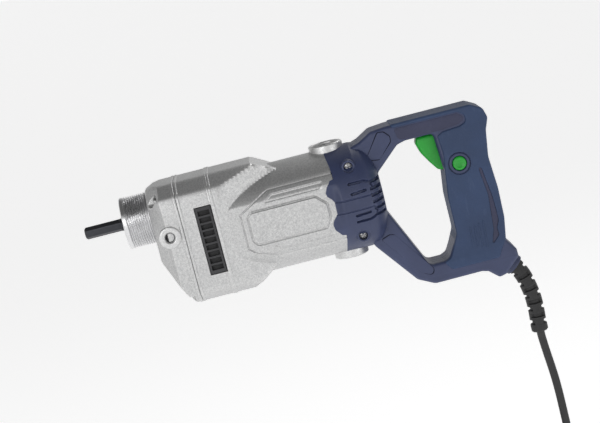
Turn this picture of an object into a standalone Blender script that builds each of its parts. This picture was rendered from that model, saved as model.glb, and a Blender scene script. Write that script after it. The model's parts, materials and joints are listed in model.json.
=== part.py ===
"""Concrete vibrator: the hand-held electric drive unit, piece by piece.

X runs along the motor from the nose (-X) to the handle (+X), Z is up, and the
origin is the middle of the hand grip. Every size is in metres.
"""
import math

import bmesh
import bpy
from mathutils import Matrix, Vector

MM = 0.001

# ---- driving dimensions ---------------------------------------------------
GAP = 0.3 * MM                    # air between pieces that touch
PRESS_GAP = 0.3 * MM              # air round a journal in its ring

MOTOR_Z = 21 * MM                 # height of the motor's axis
GEAR_MODULE = 1.2 * MM
PINION_TEETH = 12
WHEEL_TEETH = 33
GEAR_CENTRES = GEAR_MODULE * (PINION_TEETH + WHEEL_TEETH) / 2
SHAFT_Z = MOTOR_Z + GEAR_CENTRES  # height of the output spindle

COVER_FRONT = -289 * MM           # front face of the nose cover
COVER_LENGTH = 27 * MM
GASKET_THICKNESS = 0.8 * MM
GEAR_CASE_LENGTH = 29.6 * MM
MOTOR_CASE_LENGTH = 110.2 * MM

CASE_HALF_WIDTH = 46 * MM
CASE_HALF_HEIGHT = 56 * MM
NOSE_HALF_WIDTH = 28 * MM
NOSE_TOP = 53 * MM
NOSE_BOTTOM = 11.5 * MM
CASE_LEAN = 52 * MM               # distance of the slightly leaning upper flank
CASE_SHOULDER = 61.9 * MM         # distance of the sloping shoulder
NOSE_SHOULDER = 50 * MM
LEAN_ANGLE = math.radians(11.8)
SHOULDER_ANGLE = math.radians(58.8)
CASE_WALL = 5 * MM

BARREL_RADIUS = 48.5 * MM
BARREL_FLAT = 43.5 * MM           # distance of the barrel's flat flanks
STATOR_RADIUS = 39 * MM
CASE_SIDES = 48

COLLAR_RADIUS = 24 * MM           # M48 thread
COLLAR_LENGTH = 22 * MM
FLANGE_RADIUS = 26 * MM
FLANGE_LENGTH = 3.2 * MM
HEX_FLATS = 10 * MM
HEX_LENGTH = 37.5 * MM

VENT_WIDTH = 15 * MM
VENT_HALF_HEIGHT = 31 * MM
VENT_LAND = 1.5 * MM              # metal left behind the vent window
VENT_SLOTS = 9

BRUSH_BOSS_RADIUS = 15.75 * MM
BRUSH_BOSS_TOP = 53.6 * MM        # from the motor's axis
BRUSH_CAP_RADIUS = 11.6 * MM

BOWL_RADIUS = 49 * MM             # round front part of the handle
HANDLE_WALL = 3.5 * MM
HANDLE_HALF_WIDTH = 20 * MM
HANDLE_BACK_WALL = -79 * MM       # where the finger opening starts
HANDLE_BEVEL = 3 * MM
PAD_THICKNESS = 1.2 * MM

TRIGGER_HALF_WIDTH = 8 * MM
TRIGGER_TRAVEL = 6 * MM
BUTTON_RADIUS = 6.5 * MM
BUTTON_TRAVEL = 3 * MM

CORD_RADIUS = 3.75 * MM
CORD_PITCH = 7.6 * MM             # between turns of the coil
COIL_OUTER_TURN = 48.5 * MM
COIL_LAYERS = 3
COIL_COLUMNS = 3
RELIEF_RADIUS = 7.8 * MM

# ---- places worked out from them ------------------------------------------
COVER_BACK = COVER_FRONT + COVER_LENGTH
GEAR_CASE_FRONT = COVER_BACK + GASKET_THICKNESS + 2 * GAP
GEAR_CASE_BACK = GEAR_CASE_FRONT + GEAR_CASE_LENGTH
MOTOR_CASE_FRONT = GEAR_CASE_BACK + GAP
MOTOR_CASE_BACK = MOTOR_CASE_FRONT + MOTOR_CASE_LENGTH
HANDLE_FRONT = MOTOR_CASE_BACK + GAP
BRUSH_X = MOTOR_CASE_BACK + 1.5 * MM
COLLAR_BACK = COVER_FRONT - GAP
COLLAR_FRONT = COLLAR_BACK - FLANGE_LENGTH - COLLAR_LENGTH
MOTOR_AXIS = (0.0, MOTOR_Z)
SHAFT_AXIS = (0.0, SHAFT_Z)

FINISHES = {
    "cast": ((0.55, 0.56, 0.57), 0.45, 0.9),
    "machined": ((0.75, 0.76, 0.78), 0.22, 1.0),
    "steel": ((0.45, 0.46, 0.48), 0.3, 1.0),
    "dark_steel": ((0.05, 0.05, 0.06), 0.4, 0.8),
    "core": ((0.30, 0.29, 0.28), 0.5, 0.8),
    "copper": ((0.72, 0.33, 0.14), 0.35, 1.0),
    "brass": ((0.75, 0.58, 0.25), 0.3, 1.0),
    "carbon": ((0.03, 0.03, 0.03), 0.7, 0.0),
    "shell": ((0.045, 0.06, 0.14), 0.5, 0.0),
    "pad": ((0.035, 0.05, 0.10), 0.7, 0.0),
    "black": ((0.02, 0.02, 0.025), 0.5, 0.0),
    "green": ((0.03, 0.45, 0.05), 0.4, 0.0),
    "rubber": ((0.02, 0.02, 0.02), 0.75, 0.0),
    "seal": ((0.12, 0.05, 0.03), 0.6, 0.0),
}


def clear_scene():
    for obj in list(bpy.data.objects):
        bpy.data.objects.remove(obj, do_unlink=True)


def new_collection(name):
    group = bpy.data.collections.new(name)
    bpy.context.scene.collection.children.link(group)
    return group


def finish(obj, name):
    """Give obj the finish of that name and put it with the parts."""
    mat = bpy.data.materials.get(name)
    if mat is None:
        colour, roughness, metallic = FINISHES[name]
        mat = bpy.data.materials.new(name)
        mat.use_nodes = True
        shader = mat.node_tree.nodes["Principled BSDF"]
        shader.inputs["Base Color"].default_value = (*colour, 1.0)
        shader.inputs["Roughness"].default_value = roughness
        shader.inputs["Metallic"].default_value = metallic
    obj.data.materials.clear()
    obj.data.materials.append(mat)
    return obj


def link(name, data, group=None):
    obj = bpy.data.objects.new(name, data)
    (group or PARTS).objects.link(obj)
    if group is CUTTERS:
        obj.hide_render = True
        obj.display_type = "WIRE"
    return obj


def from_bmesh(name, bm, group=None):
    mesh = bpy.data.meshes.new(name)
    bm.to_mesh(mesh)
    bm.free()
    mesh.shade_smooth()
    mesh.set_sharp_from_angle(angle=math.radians(35))
    return link(name, mesh, group)


def block(name, low, high, group=None):
    """A box between two corners."""
    size = [b - a for a, b in zip(low, high)]
    centre = [(a + b) / 2 for a, b in zip(low, high)]
    bm = bmesh.new()
    bmesh.ops.create_cube(bm, size=1.0, matrix=Matrix.Translation(centre) @ Matrix.Diagonal((*size, 1.0)))
    return from_bmesh(name, bm, group)


def axis_turn(axis):
    """The rotation that takes +Z to the named axis."""
    if axis == "X":
        return Matrix.Rotation(math.radians(90), 4, "Y")
    if axis == "Y":
        return Matrix.Rotation(math.radians(-90), 4, "X")
    return Matrix.Identity(4)


def axis_place(axis, along, across):
    if axis == "X":
        return Vector((along, across[0], across[1]))
    if axis == "Y":
        return Vector((across[0], along, across[1]))
    return Vector((across[0], across[1], along))


def rod(name, axis, start, end, radius, across, sides=32, group=None):
    """A cylinder along an axis from start to end."""
    place = Matrix.Translation(axis_place(axis, (start + end) / 2, across)) @ axis_turn(axis)
    bm = bmesh.new()
    bmesh.ops.create_cone(bm, cap_ends=True, segments=sides, radius1=radius, radius2=radius,
                          depth=abs(end - start), matrix=place)
    return from_bmesh(name, bm, group)


def loop_area(points):
    return sum(a[0] * b[1] - b[0] * a[1] for a, b in zip(points, points[1:] + points[:1])) / 2


def turned(name, profile, axis, across, steps=32, group=None):
    """A profile of (along, radius) points turned about an axis.

    A profile that leaves the axis is closed on itself and makes a ring.
    """
    points = [(radius, along) for along, radius in profile]
    if loop_area(points) > 0:
        points.reverse()
    ring_shaped = points[0][0] > 0 or points[-1][0] > 0
    bm = bmesh.new()
    verts = [bm.verts.new((r, 0.0, a)) for r, a in points]
    for first, second in zip(verts, verts[1:]):
        bm.edges.new((first, second))
    if ring_shaped:
        bm.edges.new((verts[-1], verts[0]))
    obj = from_bmesh(name, bm, group)
    obj.rotation_euler = axis_turn(axis).to_euler()
    obj.location = axis_place(axis, 0.0, across)
    screw = obj.modifiers.new("turn", "SCREW")
    screw.steps = steps
    screw.render_steps = steps
    screw.use_merge_vertices = True
    screw.merge_threshold = 0.01 * MM
    screw.use_smooth_shade = False
    return obj


def ring(name, start, end, outer, inner, axis, across, steps=24, group=None):
    profile = [(start, inner), (start, outer), (end, outer), (end, inner)]
    return turned(name, profile, axis, across, steps, group)


def fillet(corners, step=math.radians(24)):
    """Round each (x, z, radius) corner of a closed outline with an arc."""
    outline = []
    count = len(corners)
    for index, (x, z, radius) in enumerate(corners):
        here = Vector((x, z))
        back = Vector(corners[index - 1][:2]) - here
        ahead = Vector(corners[(index + 1) % count][:2]) - here
        if radius <= 0:
            outline.append(tuple(here))
            continue
        half = back.angle(ahead) / 2
        reach = min(radius / math.tan(half), 0.49 * back.length, 0.49 * ahead.length)
        radius = reach * math.tan(half)
        middle = here + (back.normalized() + ahead.normalized()).normalized() * (radius / math.sin(half))
        first = here + back.normalized() * reach - middle
        last = here + ahead.normalized() * reach - middle
        sweep = first.angle_signed(last)
        pieces = max(1, math.ceil(abs(sweep) / step))
        for piece in range(pieces + 1):
            turn = Matrix.Rotation(-sweep * piece / pieces, 2)
            outline.append(tuple(middle + turn @ first))
    return outline


def plate(name, loops, low, high, axis="Y", group=None):
    """Flat outlines filled and thickened along an axis; later loops are holes."""
    curve = bpy.data.curves.new(name, "CURVE")
    curve.dimensions = "2D"
    curve.fill_mode = "BOTH"
    curve.extrude = abs(high - low) / 2
    for loop in loops:
        spline = curve.splines.new("POLY")
        spline.points.add(len(loop) - 1)
        for point, (x, y) in zip(spline.points, loop):
            point.co = (x, y, 0.0, 1.0)
        spline.use_cyclic_u = True
    flat = link(name + "_outline", curve, group)
    middle = (low + high) / 2
    if axis == "Y":
        flat.matrix_world = Matrix.Translation((0, middle, 0)) @ Matrix.Rotation(math.radians(90), 4, "X")
    elif axis == "X":
        flat.matrix_world = Matrix(((0, 0, 1, middle), (1, 0, 0, 0), (0, 1, 0, 0), (0, 0, 0, 1)))
    else:
        flat.matrix_world = Matrix.Translation((0, 0, middle))
    return solid_of(flat, name, group)


def solid_of(curve_object, name, group=None):
    """Turn a curve object into a welded mesh object in the same place."""
    bpy.context.view_layer.update()
    graph = bpy.context.evaluated_depsgraph_get()
    mesh = bpy.data.meshes.new_from_object(curve_object.evaluated_get(graph))
    bm = bmesh.new()
    bm.from_mesh(mesh)
    bmesh.ops.remove_doubles(bm, verts=bm.verts, dist=0.001 * MM)
    bmesh.ops.recalc_face_normals(bm, faces=bm.faces)
    bm.to_mesh(mesh)
    bm.free()
    obj = link(name, mesh, group)
    obj.matrix_world = curve_object.matrix_world.copy()
    bpy.data.objects.remove(curve_object)
    return obj


def tube(name, points, radius, resolution=2, cyclic=False, radii=None, group=None):
    """A round bar along points; radii scale it point by point."""
    curve = bpy.data.curves.new(name, "CURVE")
    curve.dimensions = "3D"
    curve.bevel_depth = radius
    curve.bevel_resolution = resolution
    curve.use_fill_caps = not cyclic
    spline = curve.splines.new("POLY")
    spline.points.add(len(points) - 1)
    for index, point in enumerate(points):
        spline.points[index].co = (*point, 1.0)
        spline.points[index].radius = radii[index] if radii else 1.0
    spline.use_cyclic_u = cyclic
    return solid_of(link(name + "_line", curve, group), name, group)


def boolean(target, other, operation):
    """One exact cut or join, and a weld of the hair cracks that it can leave."""
    modifier = target.modifiers.new(other.name, "BOOLEAN")
    modifier.operation = operation
    modifier.object = other
    modifier.solver = "EXACT"
    modifier = target.modifiers.new("weld", "WELD")
    modifier.merge_threshold = 0.004 * MM
    return target


def cut(target, *cutters):
    for cutter in cutters:
        boolean(target, cutter, "DIFFERENCE")
    return target


def unite(target, *others):
    for other in others:
        boolean(target, other, "UNION")
    return target


def bevel(obj, width, segments=2, angle=40):
    modifier = obj.modifiers.new("edges", "BEVEL")
    modifier.width = width
    modifier.segments = segments
    modifier.limit_method = "ANGLE"
    modifier.angle_limit = math.radians(angle)
    return obj


def smooth_route(points, spacing):
    """Even points on a smooth curve through the given ones (Catmull-Rom)."""
    anchors = [Vector(p) for p in points]
    padded = [2 * anchors[0] - anchors[1], *anchors, 2 * anchors[-1] - anchors[-2]]
    dense = []
    for a, b, c, d in zip(padded, padded[1:], padded[2:], padded[3:]):
        for step in range(20):
            t = step / 20
            dense.append(0.5 * (2 * b + (c - a) * t + (2 * a - 5 * b + 4 * c - d) * t ** 2
                                + (3 * b - a - 3 * c + d) * t ** 3))
    dense.append(anchors[-1])
    lengths = [0.0]
    for a, b in zip(dense, dense[1:]):
        lengths.append(lengths[-1] + (b - a).length)
    pieces = max(2, round(lengths[-1] / spacing))
    route = []
    cursor = 0
    for piece in range(pieces + 1):
        wanted = lengths[-1] * piece / pieces
        while cursor < len(dense) - 2 and lengths[cursor + 1] < wanted:
            cursor += 1
        span = lengths[cursor + 1] - lengths[cursor]
        route.append(dense[cursor].lerp(dense[cursor + 1], (wanted - lengths[cursor]) / span))
    return route


# ---- castings ---------------------------------------------------------------
def ramp(x, x0, value0, x1, value1):
    """Straight change from value0 at x0 to value1 at x1, held outside."""
    share = min(1.0, max(0.0, (x - x0) / (x1 - x0)))
    return value0 + (value1 - value0) * share


def case_radius(angle, x, wall=0.0):
    """Distance from the motor's axis to the gear case's skin.

    The section is the inside of a set of planes: two flanks, a top and a
    bottom, four leaning flanks and four shoulders.
    """
    across = abs(math.cos(angle))
    rise = math.sin(angle)
    nose_end = COVER_FRONT + 13 * MM
    flank = ramp(x, COVER_FRONT, NOSE_HALF_WIDTH, nose_end, CASE_HALF_WIDTH)
    top = ramp(x, COVER_FRONT, NOSE_TOP, COVER_FRONT + 7.5 * MM, CASE_HALF_HEIGHT)
    bottom = ramp(x, COVER_FRONT, NOSE_BOTTOM, COVER_FRONT + 22 * MM, CASE_HALF_HEIGHT)
    shoulder = ramp(x, COVER_FRONT, NOSE_SHOULDER, nose_end, CASE_SHOULDER)
    flank -= 0.4545 * max(0.0, x - BARREL_START)
    top -= 0.517 * max(0.0, x - BARREL_START - 35 * MM)
    bottom -= 0.652 * max(0.0, x - BARREL_START - 12.5 * MM)
    planes = [
        (flank, across),
        (top if rise > 0 else bottom, abs(rise)),
        (CASE_LEAN, across * math.cos(LEAN_ANGLE) + abs(rise) * math.sin(LEAN_ANGLE)),
        (shoulder, across * math.cos(SHOULDER_ANGLE) + abs(rise) * math.sin(SHOULDER_ANGLE)),
    ]
    return min((distance - wall) / max(facing, 0.001) for distance, facing in planes)


def barrel_radius(angle):
    return min(BARREL_RADIUS, BARREL_FLAT / max(abs(math.cos(angle)), 0.001))


def motor_case_radius(angle, x):
    return max(case_radius(angle, x), barrel_radius(angle))


def loft(name, stations, radius_at, group=None):
    """Skin over sections at the stations; radius_at(angle, x) shapes each one."""
    bm = bmesh.new()
    rings = []
    for x in stations:
        section = []
        for index in range(CASE_SIDES):
            angle = 2 * math.pi * index / CASE_SIDES
            reach = radius_at(angle, x)
            section.append(bm.verts.new((x, reach * math.cos(angle), MOTOR_Z + reach * math.sin(angle))))
        rings.append(section)
    for near, far in zip(rings, rings[1:]):
        for index in range(CASE_SIDES):
            after = (index + 1) % CASE_SIDES
            bm.faces.new((near[index], near[after], far[after], far[index]))
    bm.faces.new(rings[0])
    bm.faces.new(rings[-1])
    bmesh.ops.recalc_face_normals(bm, faces=bm.faces)
    return from_bmesh(name, bm, group)


BARREL_START = COVER_FRONT + 64.5 * MM       # where the flanks step in to the barrel
SIDE_BOSS = (COVER_FRONT + 14.5 * MM, SHAFT_Z - 15.7 * MM)
NOSE_SCREWS = [(side * 33 * MM, MOTOR_Z + rise * 44 * MM) for side in (-1, 1) for rise in (1, -1)]


def nose_screw_seat(place):
    """Where a nose screw's head sits: the lower pair is further back, behind the chin's slope."""
    return COVER_BACK - (10 * MM if place[1] > MOTOR_Z else 4.5 * MM)


def nose_cover():
    """Front casting with the gear room, the bearing bore and the side-handle bosses."""
    steps = (0, 4, 7.5, 10, 13, 17.5, 22)
    stations = [COVER_FRONT + s * MM for s in steps] + [COVER_BACK]
    cover = loft("nose_cover", stations, case_radius)
    for side in (-1, 1):
        unite(cover, rod("boss_body", "Y", side * 30 * MM, side * 48.5 * MM, 9.8 * MM, SIDE_BOSS, 24, CUTTERS))
    room_stations = [x for x in stations[1:-1] if x > COVER_FRONT + 6 * MM]
    room_stations = [COVER_FRONT + 6 * MM, *room_stations, COVER_BACK + 1 * MM]
    room = loft("gear_room", room_stations, lambda a, x: case_radius(a, x, CASE_WALL), CUTTERS)
    cut(cover, room)
    cut(cover, rod("spigot_bore", "X", COVER_FRONT - 5 * MM, COVER_FRONT + 8 * MM, SPIGOT_RADIUS + GAP,
                   SHAFT_AXIS, 40, CUTTERS))
    for side in (-1, 1):
        post = rod("boss_back", "Y", side * 31 * MM, side * 44 * MM, 9 * MM, SIDE_BOSS, 24, CUTTERS)
        unite(cover, post)
        cut(cover, rod("boss_hole", "Y", side * 34 * MM, side * 50 * MM, 4.2 * MM, SIDE_BOSS, 20, CUTTERS))
    for index, place in enumerate(NOSE_SCREWS):
        seat = nose_screw_seat(place)
        unite(cover, rod(f"screw_post_{index}", "X", seat - 3 * MM, COVER_BACK - GAP, 6 * MM, place, 20, CUTTERS))
        cut(cover, rod(f"screw_pocket_{index}", "X", COVER_FRONT - 5 * MM, seat, 4.6 * MM, place, 20,
                       CUTTERS))
        cut(cover, rod(f"screw_way_{index}", "X", COVER_FRONT, COVER_BACK + 2 * MM, 2.4 * MM, place, 16,
                       CUTTERS))
    return finish(cover, "cast")


SPIGOT_RADIUS = 20 * MM
SPIGOT_LENGTH = 5 * MM
FRONT_BEARING = (17.5 * MM, 7.5 * MM, 11 * MM)       # outside, bore and width
REAR_SPINDLE_BEARING = (13 * MM, 5 * MM, 7.5 * MM)
FRONT_ARMATURE_BEARING = (13 * MM, 5 * MM, 7.5 * MM)
REAR_ARMATURE_BEARING = (11 * MM, 4 * MM, 7 * MM)


def threaded_nose():
    """Collar that the flexible hose screws on to, with its flange and spigot."""
    seal_room = FRONT_BEARING[0] + GAP
    bearing_seat = COLLAR_BACK + SPIGOT_LENGTH - FRONT_BEARING[2] - 0.5 * MM
    chamfer = 1.5 * MM
    profile = [
        (COLLAR_FRONT, seal_room), (COLLAR_FRONT, COLLAR_RADIUS - chamfer),
        (COLLAR_FRONT + chamfer, COLLAR_RADIUS), (COLLAR_FRONT + COLLAR_LENGTH, COLLAR_RADIUS),
        (COLLAR_FRONT + COLLAR_LENGTH, FLANGE_RADIUS), (COLLAR_BACK, FLANGE_RADIUS),
        (COLLAR_BACK, SPIGOT_RADIUS), (COLLAR_BACK + SPIGOT_LENGTH, SPIGOT_RADIUS),
        (COLLAR_BACK + SPIGOT_LENGTH, seal_room), (bearing_seat, seal_room),
        (bearing_seat, 12 * MM), (COLLAR_FRONT + 9 * MM, 12 * MM), (COLLAR_FRONT + 9 * MM, seal_room),
    ]
    return finish(turned("threaded_nose", profile, "X", SHAFT_AXIS, 40), "machined")


def gearbox_gasket():
    """Thin gasket in the joint between the cover and the gear case."""
    front = COVER_BACK + GAP
    middle = front + GASKET_THICKNESS / 2
    gasket = loft("gearbox_gasket", (front, front + GASKET_THICKNESS),
                  lambda a, x: case_radius(a, middle) - 1 * MM)
    cut(gasket, loft("gasket_window", (front - MM, front + 2 * MM),
                     lambda a, x: case_radius(a, middle, CASE_WALL), CUTTERS))
    for index, place in enumerate(NOSE_SCREWS):
        unite(gasket, rod(f"gasket_ear_{index}", "X", front, front + GASKET_THICKNESS, 5.6 * MM, place, 20,
                          CUTTERS))
        cut(gasket, rod(f"gasket_hole_{index}", "X", front - MM, front + 2 * MM, 2.4 * MM, place, 16,
                        CUTTERS))
    return finish(gasket, "rubber")


WALL_BACK = GEAR_CASE_FRONT + 10 * MM
BEARING_BOSS_BACK = WALL_BACK + 7 * MM


def vent_low_high():
    back = GEAR_CASE_BACK - VENT_LAND
    return back - VENT_WIDTH, back


def gear_housing():
    """Middle casting: bearing wall in front, fan room with vent windows behind."""
    case = loft("gear_housing", (GEAR_CASE_FRONT, GEAR_CASE_BACK), case_radius)
    cut(case, loft("fan_room", (WALL_BACK, GEAR_CASE_BACK + MM), lambda a, x: case_radius(a, x, 4 * MM),
                   CUTTERS))
    unite(case, rod("bearing_boss", "X", WALL_BACK - 2 * MM, BEARING_BOSS_BACK, 18 * MM, MOTOR_AXIS, 36,
                    CUTTERS))
    outer, _, width = REAR_SPINDLE_BEARING
    cut(case, rod("spindle_pocket", "X", GEAR_CASE_FRONT - MM, GEAR_CASE_FRONT + width + 2 * GAP,
                  outer + GAP, SHAFT_AXIS, 32, CUTTERS))
    outer, _, width = FRONT_ARMATURE_BEARING
    cut(case, rod("armature_pocket", "X", BEARING_BOSS_BACK - width - 2 * GAP, BEARING_BOSS_BACK + MM,
                  outer + GAP, MOTOR_AXIS, 32, CUTTERS))
    cut(case, rod("pinion_way", "X", GEAR_CASE_FRONT - MM, BEARING_BOSS_BACK - width, 9 * MM, MOTOR_AXIS,
                  24, CUTTERS))
    low, high = vent_low_high()
    for side in (-1, 1):
        near, far = sorted((side * 36 * MM, side * 50 * MM))
        cut(case, block("vent_window", (low, near, MOTOR_Z - VENT_HALF_HEIGHT),
                        (high, far, MOTOR_Z + VENT_HALF_HEIGHT), CUTTERS))
    for index, place in enumerate(NOSE_SCREWS):
        cut(case, rod(f"screw_thread_{index}", "X", GEAR_CASE_FRONT - MM, WALL_BACK - 2 * MM, 2.3 * MM,
                      place, 16, CUTTERS))
    return finish(case, "cast")


def vent_grilles():
    """Slotted plastic insert in each vent window."""
    low, high = vent_low_high()
    frame_height = VENT_HALF_HEIGHT - GAP
    frame = 2.2 * MM
    bar = 1.8 * MM
    pitch = 2 * (frame_height - frame) / VENT_SLOTS
    for side, name in ((-1, "vent_grille_left"), (1, "vent_grille_right")):
        near, far = sorted((side * 42.3 * MM, side * 45.4 * MM))
        grille = block(name, (low + GAP, near, MOTOR_Z - frame_height), (high - GAP, far, MOTOR_Z + frame_height))
        for slot in range(VENT_SLOTS):
            base = MOTOR_Z - frame_height + frame + slot * pitch + bar / 2
            cut(grille, block(f"slot_{slot}", (low + frame, near - MM, base),
                              (high - frame, far + MM, base + pitch - bar), CUTTERS))
        finish(grille, "black")


def motor_housing():
    """Barrel that steps down from the gear case, with the brush bosses."""
    steps = (0, 6.2, 9, 12, 15, 18.7, 22, 25, 30, 36, 41.2, 46, 51, 55.7)
    stations = [MOTOR_CASE_FRONT + s * MM for s in steps] + [MOTOR_CASE_BACK]
    barrel = loft("motor_housing", stations, motor_case_radius)
    cut(barrel, rod("stator_bore", "X", MOTOR_CASE_FRONT - MM, MOTOR_CASE_BACK + MM, STATOR_RADIUS + GAP,
                    MOTOR_AXIS, 48, CUTTERS))
    for side in (-1, 1):
        foot = MOTOR_Z + side * (STATOR_RADIUS + 1 * MM)
        top = MOTOR_Z + side * BRUSH_BOSS_TOP
        seat = MOTOR_Z + side * (BRUSH_BOSS_TOP - 7 * MM)
        place = (BRUSH_X, 0.0)
        unite(barrel, rod("brush_boss", "Z", foot, top, BRUSH_BOSS_RADIUS, place, 32, CUTTERS))
        cut(barrel, rod("cap_recess", "Z", seat, top + side * MM, BRUSH_CAP_RADIUS + 0.4 * MM, place, 32,
                        CUTTERS))
        cut(barrel, rod("holder_bore", "Z", foot - side * 6 * MM, seat + side * MM, 7.3 * MM, place, 24,
                        CUTTERS))
    return finish(barrel, "cast")


# ---- spindle and its gear -----------------------------------------------------
def gear(name, teeth, start, end, bore, axis_place_yz, turn, finish_name):
    """Spur gear with straight-flanked teeth and a round bore.

    Each tooth is a trapezium: wide at the root, narrow at the tip.
    """
    pitch_radius = GEAR_MODULE * teeth / 2
    root = pitch_radius - 1.25 * GEAR_MODULE
    tip = pitch_radius + 0.8 * GEAR_MODULE
    step = 2 * math.pi / teeth
    outline = []
    for tooth in range(teeth):
        centre = turn + tooth * step
        for radius, share in ((root, -0.33), (tip, -0.125), (tip, 0.125), (root, 0.33)):
            angle = centre + share * step
            outline.append((axis_place_yz[0] + radius * math.cos(angle),
                            axis_place_yz[1] + radius * math.sin(angle)))
    wheel = plate(name, [outline], start, end, "X")
    cut(wheel, rod(name + "_bore", "X", start - MM, end + MM, bore, axis_place_yz, 24, CUTTERS))
    return finish(wheel, finish_name)


GEAR_START = COVER_FRONT + 8 * MM
GEAR_END = GEAR_START + 10 * MM


def spindle_train():
    """Hexagonal output shaft, its driven gear, bearings and seal."""
    round_start = COLLAR_FRONT + 0.5 * MM
    bearing_end = COLLAR_BACK + SPIGOT_LENGTH - 0.3 * MM
    journal = FRONT_BEARING[1] - PRESS_GAP
    rear_journal = REAR_SPINDLE_BEARING[1] - PRESS_GAP
    profile = [
        (round_start, 0.0), (round_start, 6 * MM), (bearing_end - FRONT_BEARING[2] - MM, 6 * MM),
        (bearing_end - FRONT_BEARING[2] - MM, journal), (GEAR_END + 0.5 * MM, journal),
        (GEAR_END + 0.5 * MM, rear_journal), (WALL_BACK - 2.5 * MM, rear_journal), (WALL_BACK - 2.5 * MM, 0.0),
    ]
    spindle = turned("output_spindle", profile, "X", SHAFT_AXIS, 24)
    tip = COLLAR_FRONT - HEX_LENGTH
    corner = HEX_FLATS / math.sqrt(3)
    bm = bmesh.new()
    place = Matrix.Translation(((tip + 1.5 * MM + round_start + 2 * MM) / 2, 0, SHAFT_Z))
    turn = axis_turn("X") @ Matrix.Rotation(math.radians(30), 4, "Z")
    bmesh.ops.create_cone(bm, cap_ends=True, segments=6, radius1=corner, radius2=corner,
                          depth=round_start + 2 * MM - tip - 1.5 * MM, matrix=place @ turn)
    front = min(bm.faces, key=lambda face: face.calc_center_median().x)
    end = bmesh.ops.extrude_face_region(bm, geom=[front])["geom"]
    verts = [item for item in end if isinstance(item, bmesh.types.BMVert)]
    bmesh.ops.scale(bm, verts=verts, vec=(1, 0.8, 0.8), space=Matrix.Translation((0, 0, -SHAFT_Z)))
    bmesh.ops.translate(bm, verts=verts, vec=(-1.5 * MM, 0, 0))
    bmesh.ops.delete(bm, geom=[front], context="FACES_ONLY")
    unite(spindle, from_bmesh("hexagon", bm, CUTTERS))
    finish(spindle, "dark_steel")

    gear("driven_gear", WHEEL_TEETH, GEAR_START, GEAR_END, journal + PRESS_GAP, SHAFT_AXIS,
         math.radians(-90), "steel")
    outer, bore, width = FRONT_BEARING
    finish(ring("spindle_bearing_front", bearing_end - width, bearing_end, outer, bore, "X", SHAFT_AXIS),
           "steel")
    outer, bore, width = REAR_SPINDLE_BEARING
    start = GEAR_CASE_FRONT + GAP
    finish(ring("spindle_bearing_rear", start, start + width, outer, bore, "X", SHAFT_AXIS), "steel")
    finish(ring("oil_seal", COLLAR_FRONT + MM, COLLAR_FRONT + 8.5 * MM, outer=FRONT_BEARING[0],
                inner=6 * MM + GAP, axis="X", across=SHAFT_AXIS), "seal")


# ---- motor ----------------------------------------------------------------------
CORE_START = MOTOR_CASE_FRONT + 24 * MM
CORE_TO_BRUSHES = 32.7 * MM
CORE_END = BRUSH_X - CORE_TO_BRUSHES
YOKE_WALL = 5 * MM
FIELD_COIL_DEPTH = 9.5 * MM
FIELD_COIL_WIRE = 3 * MM
POLE_HALF_HEIGHT = 15 * MM
POLE_TO_COIL = 4.264 * MM
CORE_RADIUS = STATOR_RADIUS - 16 * MM
ARMATURE_SHAFT_RADIUS = 7 * MM
PINION_SEAT = 4.2 * MM
FAN_BACK = GEAR_CASE_BACK - 0.6 * MM
FAN_RADIUS = 36 * MM
COMMUTATOR_RADIUS = 13 * MM
REAR_SHAFT_END = BRUSH_X + 24 * MM


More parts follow.
